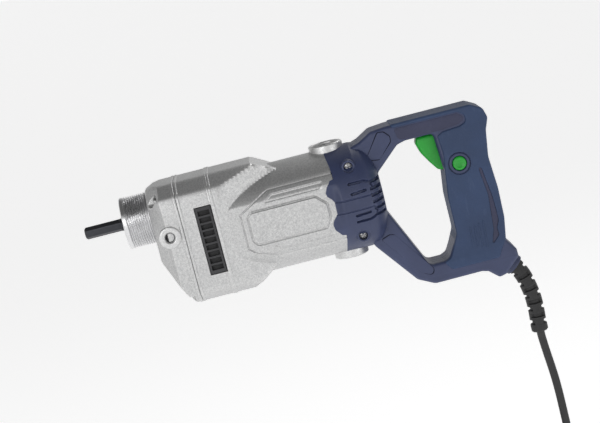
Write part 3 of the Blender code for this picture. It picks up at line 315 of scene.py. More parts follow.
class Finish(Enum):
    """The finishes of the tool, each with the recipe that makes it."""

    CAST = CastAlloy("cast_alloy_finish", (0.66, 0.66, 0.655), (0.36, 0.363, 0.37), 1700.0, 0.00011, 0.44)
    CAST_PANEL = CastAlloy("cast_panel_finish", (0.72, 0.72, 0.715), (0.42, 0.423, 0.43), 1900.0, 0.00008, 0.38)
    MACHINED = TurnedMetal("machined_finish", (0.80, 0.80, 0.81), 0.22, (1.0, 0.02, 0.02))
    STEEL = TurnedMetal("ground_steel_finish", (0.62, 0.62, 0.64), 0.28)
    BLACKENED = TurnedMetal("blackened_steel_finish", (0.05, 0.052, 0.06), 0.34, (0.04, 1.0, 1.0), 0.7)
    COPPER = TurnedMetal("winding_copper_finish", (0.75, 0.36, 0.17), 0.35, (1.0, 0.1, 0.1))
    BRASS = TurnedMetal("brass_finish", (0.80, 0.62, 0.30), 0.25)
    CORE = TurnedMetal("laminated_core_finish", (0.38, 0.37, 0.36), 0.5, (1.0, 0.01, 0.01), 0.8)
    SHELL = Moulded("blue_shell_finish", (0.034, 0.046, 0.110), 0.46)
    OVERMOULD = Moulded("overmould_finish", (0.026, 0.050, 0.118), 0.58, 1100.0, 0.00012, 0.22, 0.40)
    PANEL = Moulded("dark_panel_finish", (0.036, 0.040, 0.085), 0.55, 1300.0, 0.0001, 0.2, 0.4)
    SHADOW = Moulded("shadow_line_finish", (0.008, 0.010, 0.022), 0.7, 1300.0, 0.0001, 0.1, 0.2)
    BLACK = Moulded("black_plastic_finish", (0.020, 0.020, 0.023), 0.45)
    GREEN = Moulded("green_plastic_finish", (0.012, 0.36, 0.030), 0.36, 1800.0, 0.00003, 0.2)
    CORD = Moulded("cord_rubber_finish", (0.022, 0.022, 0.023), 0.55, 1200.0, 0.00006, 0.3, 0.4)
    CARBON = Moulded("carbon_finish", (0.03, 0.03, 0.03), 0.7)
    SEAL = Moulded("seal_rubber_finish", (0.10, 0.045, 0.03), 0.6)
    GASKET = Moulded("gasket_finish", (0.015, 0.015, 0.016), 0.7, 1300.0, 0.0001, 0.1)
    ZINC = TurnedMetal("zinc_screw_finish", (0.50, 0.50, 0.50), 0.3)

    def material(self) -> bpy.types.Material:
        """The one material of this finish, made the first time it is asked for."""
        found = bpy.data.materials.get(self.value.name)
        return found if found is not None else self.value.make()

    def slot(self) -> str:
        """The record's material slot of this finish."""
        return next(slot for slot, finishes in SLOT_FINISHES.items() if self in finishes)


SLOT_FINISHES: dict[str, tuple[Finish, ...]] = {
    "cast_alloy": (Finish.CAST, Finish.CAST_PANEL), "machined_steel": (Finish.MACHINED,),
    "dark_steel": (Finish.BLACKENED,), "steel": (Finish.STEEL,), "gasket_rubber": (Finish.GASKET,),
    "zinc_screw": (Finish.ZINC,), "core_steel": (Finish.CORE,), "copper": (Finish.COPPER,),
    "brass": (Finish.BRASS,), "carbon": (Finish.CARBON,), "black_plastic": (Finish.BLACK,),
    "blue_shell": (Finish.SHELL, Finish.SHADOW), "grip_pad": (Finish.OVERMOULD, Finish.PANEL),
    "green_button": (Finish.GREEN,), "seal_rubber": (Finish.SEAL,), "cord_rubber": (Finish.CORD,)}


# ---- surfaces ---------------------------------------------------------------------
def smooth_step(value: np.ndarray, low: float, high: float) -> np.ndarray:
    """Rise from 0 at low to 1 at high with level ends: 3t^2 - 2t^3."""
    share = np.clip((value - low) / (high - low), 0.0, 1.0)
    return share * share * (3.0 - 2.0 * share)


def distance_to_line(points: np.ndarray, line: np.ndarray, closed: bool = True) -> np.ndarray:
    """Least distance of each point to a run of straight pieces.

    Args:
        points: array (..., 2).
        line: corners (n, 2).
        closed: whether the last corner joins the first.

    Returns:
        Distances, one for each point.
    """
    ends = np.roll(line, -1, axis=0) if closed else line[1:]
    starts = line if closed else line[:-1]
    best = np.full(points.shape[:-1], 1.0e9)
    for start, end in zip(starts, ends):
        along = end - start
        share = np.clip(((points - start) @ along) / (along @ along), 0.0, 1.0)
        gap = points - start - share[..., None] * along
        best = np.minimum(best, np.hypot(gap[..., 0], gap[..., 1]))
    return best


def inside(points: np.ndarray, outline: np.ndarray) -> np.ndarray:
    """True for each point inside an outline, by counting the edges that a ray to +X crosses."""
    crossed = np.zeros(points.shape[:-1], dtype=bool)
    for start, end in zip(outline, np.roll(outline, -1, axis=0)):
        spans = (start[1] > points[..., 1]) != (end[1] > points[..., 1])
        if start[1] != end[1]:
            at = start[0] + (points[..., 1] - start[1]) * (end[0] - start[0]) / (end[1] - start[1])
            crossed ^= spans & (points[..., 0] < at)
    return crossed


def signed_distance(points: np.ndarray, outline: np.ndarray) -> np.ndarray:
    """Distance to an outline, negative inside it."""
    return np.where(inside(points, outline), -1.0, 1.0) * distance_to_line(points, outline)


def rounded(corners: Sequence[Corner], step_deg: float = 6.0) -> np.ndarray:
    """A closed outline with an arc at each corner.

    Args:
        corners: x, z and corner radius, in millimetres.
        step_deg: turn between two points of an arc.

    Returns:
        Points (n, 2) in metres.
    """
    outline: list[np.ndarray] = []
    places = np.array([corner[:2] for corner in corners], dtype=float)
    for index, corner in enumerate(corners):
        here = places[index]
        back = places[index - 1] - here
        ahead = places[(index + 1) % len(corners)] - here
        back_length, ahead_length = np.linalg.norm(back), np.linalg.norm(ahead)
        back, ahead = back / back_length, ahead / ahead_length
        half = math.acos(float(np.clip(back @ ahead, -1, 1))) / 2
        if corner[2] <= 0 or half > math.radians(89.5):
            outline.append(here)
            continue
        reach = min(corner[2] / math.tan(half), 0.49 * back_length, 0.49 * ahead_length)
        radius = reach * math.tan(half)
        middle = here + (back + ahead) / np.linalg.norm(back + ahead) * radius / math.sin(half)
        first = here + back * reach - middle
        last = here + ahead * reach - middle
        sweep = math.atan2(first[0] * last[1] - first[1] * last[0], first @ last)
        count = max(2, math.ceil(abs(math.degrees(sweep)) / step_deg))
        turn = sweep * np.arange(count + 1) / count
        outline.extend(middle + np.stack([first[0] * np.cos(turn) - first[1] * np.sin(turn),
                                          first[0] * np.sin(turn) + first[1] * np.cos(turn)], axis=1))
    return np.array(outline) * MM


def resampled(outline: np.ndarray, spacing: float) -> np.ndarray:
    """Even points on a closed outline, about spacing apart."""
    ring = np.vstack([outline, outline[:1]])
    steps = np.hypot(*np.diff(ring, axis=0).T)
    along = np.concatenate([[0.0], np.cumsum(steps)])
    count = max(8, round(along[-1] / spacing))
    wanted = np.arange(count) * along[-1] / count
    return np.stack([np.interp(wanted, along, ring[:, 0]), np.interp(wanted, along, ring[:, 1])], axis=1)


def outward(outline: np.ndarray) -> np.ndarray:
    """Unit normals of an anticlockwise outline, pointing out of it."""
    along = np.roll(outline, -1, axis=0) - np.roll(outline, 1, axis=0)
    along /= np.linalg.norm(along, axis=1, keepdims=True)
    return np.stack([along[:, 1], -along[:, 0]], axis=1)


def area_of(outline: np.ndarray) -> float:
    """Signed area, positive when the outline runs anticlockwise."""
    after = np.roll(outline, -1, axis=0)
    return float(np.sum(outline[:, 0] * after[:, 1] - after[:, 0] * outline[:, 1]) / 2)


class Surface:
    """Vertices and faces gathered from grids, then made one object."""

    def __init__(self) -> None:
        """Start empty."""
        self.points: list[np.ndarray] = []
        self.faces: list[tuple[int, ...]] = []
        self.count = 0

    def add_points(self, points: np.ndarray) -> int:
        """Store points and give the number of the first."""
        first = self.count
        self.points.append(points.reshape(-1, 3))
        self.count += len(self.points[-1])
        return first

    def grid(self, points: np.ndarray, round_u: bool = False, round_v: bool = False) -> "Surface":
        """Add a sheet of quads.

        Args:
            points: array (rows, columns, 3).
            round_u: join the last row to the first.
            round_v: join the last column to the first.

        Returns:
            This surface.
        """
        rows, columns = points.shape[:2]
        numbers = np.arange(rows * columns).reshape(rows, columns) + self.add_points(points)
        if round_u:
            numbers = np.vstack([numbers, numbers[:1]])
        if round_v:
            numbers = np.hstack([numbers, numbers[:, :1]])
        quads = np.stack([numbers[:-1, :-1], numbers[1:, :-1], numbers[1:, 1:], numbers[:-1, 1:]], axis=-1)
        self.faces.extend(map(tuple, quads.reshape(-1, 4).tolist()))
        return self

    def fan(self, ring: np.ndarray) -> "Surface":
        """Close a ring of points with triangles to its middle."""
        first = self.add_points(np.vstack([ring, ring.mean(axis=0)]))
        size = len(ring)
        self.faces.extend((first + i, first + (i + 1) % size, first + size) for i in range(size))
        return self

    def flat(self, loops: Sequence[np.ndarray]) -> "Surface":
        """Fill flat outlines, the later ones being holes, with triangles."""
        first = self.add_points(np.vstack(loops))
        triangles = tessellate_polygon([[Vector(point) for point in loop] for loop in loops])
        self.faces.extend(tuple(first + number for number in triangle) for triangle in triangles)
        return self

    def sleeve(self, points: np.ndarray) -> "Surface":
        """Add a sheet that is round in its second direction, and close both its ends."""
        return self.grid(points, round_v=True).fan(points[0]).fan(points[-1])

    def ring(self, points: np.ndarray) -> "Surface":
        """Add a sheet that is round in both directions."""
        return self.grid(points, round_u=True, round_v=True)

    def make(self, name: str, finish: Finish, body: str = "root",
             sharp_deg: float = 32.0) -> bpy.types.Object:
        """Join everything into one object.

        Args:
            name: the piece's name.
            finish: its finish.
            body: the CAD body that it rides on.
            sharp_deg: angle past which an edge is creased.

        Returns:
            The object, dressed and riding.
        """
        mesh = bpy.data.meshes.new(name)
        mesh.from_pydata(np.vstack(self.points).tolist(), [], self.faces)
        work = bmesh.new()
        work.from_mesh(mesh)
        bmesh.ops.remove_doubles(work, verts=work.verts, dist=WELD)
        bmesh.ops.dissolve_degenerate(work, edges=work.edges, dist=WELD / 10)
        bmesh.ops.recalc_face_normals(work, faces=work.faces)
        work.to_mesh(mesh)
        work.free()
        mesh.shade_smooth()
        mesh.set_sharp_from_angle(angle=math.radians(sharp_deg))
        mesh.materials.append(finish.material())
        piece = bpy.data.objects.new(name, mesh)
        bpy.context.scene.collection.objects.link(piece)
        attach(piece, body)
        LOG.info("%s: %d faces", name, len(mesh.polygons))
        return piece


def tube_along(path: np.ndarray, profile: Callable[[np.ndarray, np.ndarray], np.ndarray],
               sides: int) -> np.ndarray:
    """Grid of a round bar carried along a path.

    At each path point the section is a circle in the plane square to the path, of radius
    profile(distance along, angle); the frame is turned as little as possible from point to point.

    Args:
        path: points (n, 3).
        profile: radius for arrays of distance and angle.
        sides: points round the bar.

    Returns:
        Grid (n, sides, 3).
    """
    along = np.gradient(path, axis=0)
    along /= np.linalg.norm(along, axis=1, keepdims=True)
    lengths = np.concatenate([[0.0], np.cumsum(np.linalg.norm(np.diff(path, axis=0), axis=1))])
    side = np.zeros_like(path)
    reference = np.array([0.0, 1.0, 0.0]) if abs(along[0, 1]) < 0.9 else np.array([1.0, 0.0, 0.0])
    for index, direction in enumerate(along):
        reference = reference - direction * (reference @ direction)
        reference /= np.linalg.norm(reference)
        side[index] = reference
    up = np.cross(along, side)
    angle = 2 * np.pi * np.arange(sides) / sides
    reach = profile(lengths[:, None], angle[None, :]) * np.ones((len(path), sides))
    return (path[:, None] + reach[..., None] * (side[:, None] * np.cos(angle)[None, :, None]
                                                + up[:, None] * np.sin(angle)[None, :, None]))


def carved(grid: np.ndarray, height: Callable[[np.ndarray], np.ndarray]) -> np.ndarray:
    """A grid that is round in its second direction, with relief on it.

    Each point moves along the surface normal (the cross product of the steps along and round the
    grid, pointing away from the row's middle) by height(points).
    """
    ahead = np.gradient(grid, axis=0)
    around = np.roll(grid, -1, axis=1) - np.roll(grid, 1, axis=1)
    normal = np.cross(ahead, around)
    normal /= np.maximum(np.linalg.norm(normal, axis=-1, keepdims=True), 1e-12)
    away = np.sum(normal * (grid - grid.mean(axis=1, keepdims=True)))
    return grid + np.sign(away) * normal * height(grid)[..., None]


def groove(distance: np.ndarray, width: float, depth: float, soft: float = 0.0004) -> np.ndarray:
    """Height of a groove: -depth inside half the width, back to 0 over soft."""
    return -depth * (1.0 - smooth_step(distance, width / 2 - soft / 2, width / 2 + soft / 2))


def plateau(distance: np.ndarray, height: float, soft: float = 0.0008) -> np.ndarray:
    """Height of a raised or sunk area: height where the signed distance is negative, 0 outside."""
    return height * (1.0 - smooth_step(distance, -soft, 0.0))


def spline_through(anchors: np.ndarray, spacing: float) -> np.ndarray:
    """Even points on the Catmull-Rom curve through the anchors."""
    padded = np.vstack([2 * anchors[0] - anchors[1], anchors, 2 * anchors[-1] - anchors[-2]])
    share = (np.arange(24) / 24)[None, :, None]
    a, b, c, d = (padded[i:len(padded) - 3 + i][:, None] for i in range(4))
    dense = 0.5 * (2 * b + (c - a) * share + (2 * a - 5 * b + 4 * c - d) * share ** 2
                   + (3 * b - a - 3 * c + d) * share ** 3)
    dense = np.vstack([dense.reshape(-1, anchors.shape[1]), anchors[-1:]])
    along = np.concatenate([[0.0], np.cumsum(np.linalg.norm(np.diff(dense, axis=0), axis=1))])
    wanted = np.linspace(0.0, along[-1], max(2, round(along[-1] / spacing)) + 1)
    return np.stack([np.interp(wanted, along, dense[:, i]) for i in range(anchors.shape[1])], axis=1)


def turned_grid(profile: np.ndarray, axis: str, across: Place, sides: int = 96) -> np.ndarray:
    """Grid of a profile of (along, radius) points turned about an axis.

    Args:
        profile: points (n, 2).
        axis: X, Y or Z.
        across: the axis's place in the other two directions.
        sides: points round.

    Returns:
        Grid (n, sides, 3).
    """
    angle = 2 * np.pi * np.arange(sides) / sides
    along = np.broadcast_to(profile[:, :1], (len(profile), sides))
    first = across[0] + profile[:, 1:] * np.cos(angle)
    second = across[1] + profile[:, 1:] * np.sin(angle)
    order = {"X": (along, first, second), "Y": (first, along, second), "Z": (first, second, along)}[axis]
    return np.stack(order, axis=-1)


def eased(profile: Sequence[Place], radius: float = 0.0006, steps: int = 4) -> np.ndarray:
    """A turned profile with each inner corner cut by a small arc (a quadratic blend)."""
    points = np.array(profile, dtype=float)
    done = [points[0]]
    for before, here, after in zip(points, points[1:], points[2:]):
        back, ahead = before - here, after - here
        reach = min(radius, 0.45 * np.linalg.norm(back), 0.45 * np.linalg.norm(ahead))
        first = here + back / np.linalg.norm(back) * reach
        last = here + ahead / np.linalg.norm(ahead) * reach
        for share in np.linspace(0.0, 1.0, steps):
            done.append((1 - share) ** 2 * first + 2 * share * (1 - share) * here + share ** 2 * last)
    done.append(points[-1])
    return np.array(done)


def slab(surface: Surface, loops: Sequence[np.ndarray], low: float, high: float,
         rims: Sequence[Place], steps: int = 5) -> None:
    """A flat plate with rounded rims, thickened along Y.

    The rim is a quarter-circle profile carried along each outline; the faces are filled.

    Args:
        surface: where it goes.
        loops: (n, 2) outlines in X and Z, the later ones being holes.
        low: its lower Y.
        high: its upper Y.
        rims: radius at the low and the high rim, for each loop; the last one serves the rest.
        steps: points on each rim's quarter circle.
    """
    faces: list[list[np.ndarray]] = [[], []]
    turn = np.linspace(0.0, np.pi / 2, steps)
    for number, loop in enumerate(loops):
        under, over = rims[min(number, len(rims) - 1)]
        ring = loop if area_of(loop) > 0 else loop[::-1]
        normal = outward(ring) * (1.0 if number == 0 else -1.0)
        inset = np.concatenate([under * (1 - np.sin(turn)), over * (1 - np.cos(turn))])
        level = np.concatenate([low + under * (1 - np.cos(turn)), high - over * (1 - np.sin(turn))])
        flat = ring[None] - normal[None] * inset[:, None, None]
        across = np.broadcast_to(level[:, None], flat.shape[:2])
        grid = np.stack([flat[..., 0], across, flat[..., 1]], axis=-1)
        surface.grid(grid, round_v=True)
        faces[0].append(grid[0])
        faces[1].append(grid[-1])
    for rings in faces:
        surface.flat(rings)


def placed(origin: float, profile: Sequence[Place], way: float = 1.0) -> list[Place]:
    """A turned profile measured from a place along its axis, ahead of it or, with way -1, behind it."""
    return [(origin + way * along, radius) for along, radius in profile]


def flank_angles(dense: int, coarse: int) -> np.ndarray:
    """Angles round the motor's axis, close together over both flanks, where the relief is."""
    flank = np.arctan(np.linspace(-0.037, 0.037, dense) / 0.045)
    over = np.linspace(flank[-1], np.pi - flank[-1], coarse)[1:-1]
    return np.concatenate([flank, over, np.pi + flank, np.pi + over])


def box_line(low: Sequence[float], high: Sequence[float], radius: float) -> np.ndarray:
    """Rounded rectangle between two places in metres, with a corner radius in millimetres."""
    left, foot, right, top = low[0] / MM, low[1] / MM, high[0] / MM, high[1] / MM
    return rounded(((left, foot, radius), (right, foot, radius), (right, top, radius), (left, top, radius)))


def middle_of(name: str, first: int, second: int) -> Place:
    """Middle of a CAD node's box in two of its three directions."""
    low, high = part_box(name)
    return (low[first] + high[first]) / 2, (low[second] + high[second]) / 2


def disc(centre: Place, radius: float, count: int = 48) -> np.ndarray:
    """A circle of points, in metres, from a centre and radius in millimetres."""
    angle = 2 * np.pi * np.arange(count) / count
    return np.stack([centre[0] + radius * np.cos(angle), centre[1] + radius * np.sin(angle)], axis=1) * MM


def closed_turn(name: str, finish: Finish, profile: Sequence[Place], axis: str,
                across: Place, easing: float = 0.0006, body: str = "root",
                sides: int = 96) -> bpy.types.Object:
    """One turned piece, closed at both ends.

    Args:
        name: the piece's name.
        finish: its finish.
        profile: (along, radius) corners, carried round the axis.
        axis: X, Y or Z.
        across: the axis's place in the other two directions.
        easing: size of the arc at each corner.
        body: the CAD body that it rides on.
        sides: points round.

    Returns:
        The object.
    """
    grid = turned_grid(eased(profile, easing), axis, across, sides)
    surface = Surface().grid(grid, round_v=True)
    for row in (grid[0], grid[-1]):
        if np.ptp(row, axis=0).max() > 1e-6:
            surface.fan(row)
    return surface.make(name, finish, body)


# ---- camera and light -----------------------------------------------------------------
@dataclass
class Studio:
    """A pale floor, soft lights and the camera."""

    target: Corner = (-0.1562, 0.0, 0.0187)
    distance: float = 1.65
    rise_deg: float = 9.0
    roll_deg: float = 14.4
    frame_width: float = 0.552
    floor_level: float = -0.52
    floor_glow: float = 0.62
    horizon: float = 0.95
    overhead: float = 0.12
    floor_half: float = 400.0
    lamps: tuple[tuple[str, Corner, float, float], ...] = (
        ("key", (-0.7, -1.4, 0.45), 0.8, 6.0), ("rim", (0.7, 1.0, 1.3), 0.7, 6.0),
        ("fill", (1.1, -1.1, -0.1), 0.7, 1.5))

    def build(self) -> None:
        """Make the whole studio."""
        self.camera()
        self.floor()
        self.lights()

    def camera(self) -> None:
        """A long lens level with the tool's side, a little above it, rolled nose-down."""
        rise = math.radians(self.rise_deg)
        roll = math.radians(self.roll_deg)
        look = Vector((0.0, math.cos(rise), -math.sin(rise)))
        up = Vector((0.0, math.sin(rise), math.cos(rise)))
        across = Vector((1.0, 0.0, 0.0))
        right = across * math.cos(roll) - up * math.sin(roll)
        above = across * math.sin(roll) + up * math.cos(roll)
        lens = bpy.data.cameras.new("camera")
        lens.sensor_width = 36.0
        lens.lens = lens.sensor_width * self.distance / self.frame_width
        lens.clip_end = 200.0
        camera = bpy.data.objects.new("camera", lens)
        bpy.context.scene.collection.objects.link(camera)
        place = Vector(self.target) - look * self.distance
        camera.matrix_world = Matrix((
            (right.x, above.x, -look.x, place.x),
            (right.y, above.y, -look.y, place.y),
            (right.z, above.z, -look.z, place.z),
            (0.0, 0.0, 0.0, 1.0)))
        bpy.context.scene.camera = camera

    def floor(self) -> None:
        """A wide pale floor well below the tool, lit a little from within so that it stays white."""
        half = self.floor_half
        mesh = bpy.data.meshes.new("floor")
        corners = [(-half, -half), (half, -half), (half, half), (-half, half)]
        mesh.from_pydata([(x, y, self.floor_level) for x, y in corners], [], [(0, 1, 2, 3)])
        graph = Graph("floor_finish")
        mesh.materials.append(graph.close((0.90, 0.90, 0.90), 0.9, Emission_Strength=self.floor_glow))
        floor = bpy.data.objects.new("floor", mesh)
        bpy.context.scene.collection.objects.link(floor)

    def sky(self) -> None:
        """White round the horizon and darker overhead, so that upward faces read darker."""
        world = bpy.data.worlds.new("sky")
        world.use_nodes = True
        tree = world.node_tree
        tree.nodes["Background"].inputs["Color"].default_value = (1.0, 1.0, 1.0, 1.0)
        coordinates = tree.nodes.new("ShaderNodeTexCoord")
        split = tree.nodes.new("ShaderNodeSeparateXYZ")
        ramp = tree.nodes.new("ShaderNodeMapRange")
        tree.links.new(coordinates.outputs["Generated"], split.inputs[0])
        tree.links.new(split.outputs[2], ramp.inputs[0])
        for number, value in enumerate((0.02, 0.75, self.horizon, self.overhead), start=1):
            ramp.inputs[number].default_value = value
        tree.links.new(ramp.outputs[0], tree.nodes["Background"].inputs["Strength"])
        bpy.context.scene.world = world

    def lights(self) -> None:
        """A big soft key before the tool, a rim behind it and a low fill."""
        self.sky()
        bpy.context.scene.view_settings.view_transform = "Standard"
        middle = Vector(self.target)
        for name, offset, size, power in self.lamps:
            lamp = bpy.data.lights.new(name, "AREA")
            lamp.size = size
            lamp.energy = power
            light = bpy.data.objects.new(name, lamp)
            light.location = middle + Vector(offset)
            light.rotation_euler = (-Vector(offset)).to_track_quat("-Z", "Y").to_euler()
            bpy.context.scene.collection.objects.link(light)


# ---- cord ---------------------------------------------------------------------------------
@dataclass
class MainsCord:
    """Strain relief, free cord with its coil, tie and plug."""

    radius: float = 0.00375
    pitch: float = 0.0076
    outer_turn: float = 0.0485
    layers: int = 3
    turns: int = 7
    route: Line = (
        (33.7, 0, -147), (33.7, 0, -152), (34.2, 0, -160), (35.0, 0, -170), (35.9, 0, -180), (36.7, 0, -190),
        (37.2, 0, -200), (37.5, 0, -212), (37.5, 0, -226), (37.5, 0, -240), (37.5, 0, -254), (37.5, 0, -264),
        (37.5, 0, -280))
    relief_route: tuple[Place, ...] = (
        (13.5, -67.6), (21, -75.8), (26.5, -84), (30.2, -92), (32.6, -102), (34.2, -112), (34.6, -122),
        (34.2, -132), (33.7, -140), (33.7, -146.5))
    relief_radius: float = 0.0078
    centre: Place = (-0.011, -0.295)
    plug_top: float = -0.283

    def build(self) -> None:
        """Make every piece of the lead."""
        relief = self.strain_relief()
        plug = self.plug()
        tie = self.tie()
        path = self.path()
        grid = tube_along(path, lambda along, angle: np.full_like(along, self.radius), 14)
        cord = Surface().sleeve(grid).make("mains_cord", Finish.CORD)
        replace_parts(cord, "power_cord", "cord_coil")
        length = float(np.linalg.norm(np.diff(path, axis=0), axis=1).sum())
        LOG.info("cord length %.3f m", length)

    def path(self) -> np.ndarray:
        """The cord's middle line: down from the relief, then round the coil."""
        hang = spline_through(np.array(self.route) * MM, 0.004)
        return np.vstack([hang, self.coil()])

    def coil(self) -> np.ndarray:
        """Middle line of the turns.

        Turn after turn runs clockwise as seen from the tool's near side. Each keeps to its slot
        in the bundle and shifts to the next slot over the last sixth of the turn; the last one
        swings out sideways to the plug.
        """
        slots = [(self.outer_turn - row * self.pitch, column * self.pitch)
                 for column in range(3)
                 for row in (range(self.layers) if column % 2 == 0 else range(self.layers - 1, -1, -1))]
        slots = np.array(slots[:self.turns])
        last = math.asin((self.plug_top - self.centre[1]) / self.outer_turn)
        total = 2 * math.pi * self.turns - last
        angle = np.linspace(0.0, total, 60 * self.turns)
        turn = np.minimum(angle / (2 * math.pi), self.turns - 1e-6)
        number = np.floor(turn).astype(int)
        shift = smooth_step(turn - number, 0.80, 1.0)
        after = np.minimum(number + 1, self.turns - 1)
        place = slots[number] * (1 - shift[:, None]) + slots[after] * shift[:, None]
        swing = smooth_step(angle, total - 2.0, total - 0.12)
        side = place[:, 1] + swing * (self.plug_side() - slots[-1, 1])
        reach = place[:, 0] + swing * (self.outer_turn - place[:, 0])
        return np.stack([self.centre[0] + reach * np.cos(angle), side,
                         self.centre[1] - reach * np.sin(angle)], axis=1)

    def plug_side(self) -> float:
        """Y of the plug's middle, beside the coil."""
        return middle_of("plug_body", 0, 1)[1]

    def strain_relief(self) -> bpy.types.Object:
        """Ribbed rubber sleeve.

        Round a core, nine rings stand proud; between them two bridges on opposite sides, turned
        a quarter from gap to gap, leave the windows that let it bend.
        """
        path = spline_through(np.array([(x, 0.0, z) for x, z in self.relief_route]) * MM, 0.0005)
        total = float(np.linalg.norm(np.diff(path, axis=0), axis=1).sum())
        collar, rings = 0.019, 9
        pitch = (total - collar - 0.006) / rings

        def profile(along: np.ndarray, angle: np.ndarray) -> np.ndarray:
            """Radius from the ring pattern, with a thicker end rim."""
            phase = (along - collar) / pitch
            number = np.floor(phase)
            gap = smooth_step(np.abs(phase - number - 0.5), 0.30, 0.22)
            turn = angle + np.where(number % 2 > 0, np.pi / 2, 0.0)
            window = smooth_step(np.abs(np.cos(turn)), 0.86, 0.78)
            live = (phase > 0) & (phase < rings)
            body = self.relief_radius * (1.0 - 0.035 * np.clip(along / total, 0, 1))
            reach = body - np.where(live, gap * window * 0.0021, 0.0)
            rim = smooth_step(along, total - 0.0075, total - 0.0065)
            end = 0.0011 * smooth_step(along, total - 0.0012, total)
            return reach + rim * 0.00028 - end

        grid = tube_along(path, profile, 72)
        piece = Surface().sleeve(grid).make("ribbed_strain_relief", Finish.CORD)
        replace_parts(piece, "strain_relief")
        return piece

    def tie(self) -> bpy.types.Object:
        """Strap round the bundle: a rounded rectangular loop with a small flat section."""
        low, high = (np.array(corner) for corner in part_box("cord_tie"))
        wall = 0.0012
        outline = box_line(low[1:], high[1:], 3)
        normal = outward(outline)
        inner = outline - normal * wall
        half = (high[0] - low[0]) / 2
        middle = (high[0] + low[0]) / 2
        section = [(-half, inner), (-half, outline), (half, outline), (half, inner)]
        rows = [np.stack([np.full(len(loop), middle + x), loop[:, 0], loop[:, 1]], axis=1)
                for x, loop in section]
        piece = Surface().ring(np.stack(rows)).make("coil_tie", Finish.BLACK)
        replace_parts(piece, "cord_tie")
        return piece

    def plug(self) -> bpy.types.Object:
        """Round two-pin plug body with a ribbed neck and a finger waist."""
        low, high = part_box("plug_body")
        top, foot = high[2], low[2]
        place = middle_of("plug_body", 0, 1)
        along = np.linspace(top, foot, 120)
        down = top - along
        neck = 0.0054 + 0.0026 * smooth_step(down, 0.0, 0.012)
        reach = neck + 0.0035 * smooth_step(down, 0.012, 0.021)
        reach -= 0.0006 * (np.sin(down / 0.0026 * np.pi) > 0.2) * (down > 0.0015) * (down < 0.012)
        reach -= 0.0011 * smooth_step(np.abs(down - 0.031), 0.008, 0.003)
        reach -= 0.0012 * smooth_step(down, top - foot - 0.0014, top - foot)
        grid = turned_grid(np.stack([along, reach], axis=1), "Z", place, 64)
        piece = Surface().sleeve(grid).make("two_pin_plug", Finish.CORD)
        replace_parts(piece, "plug_body")
        return piece


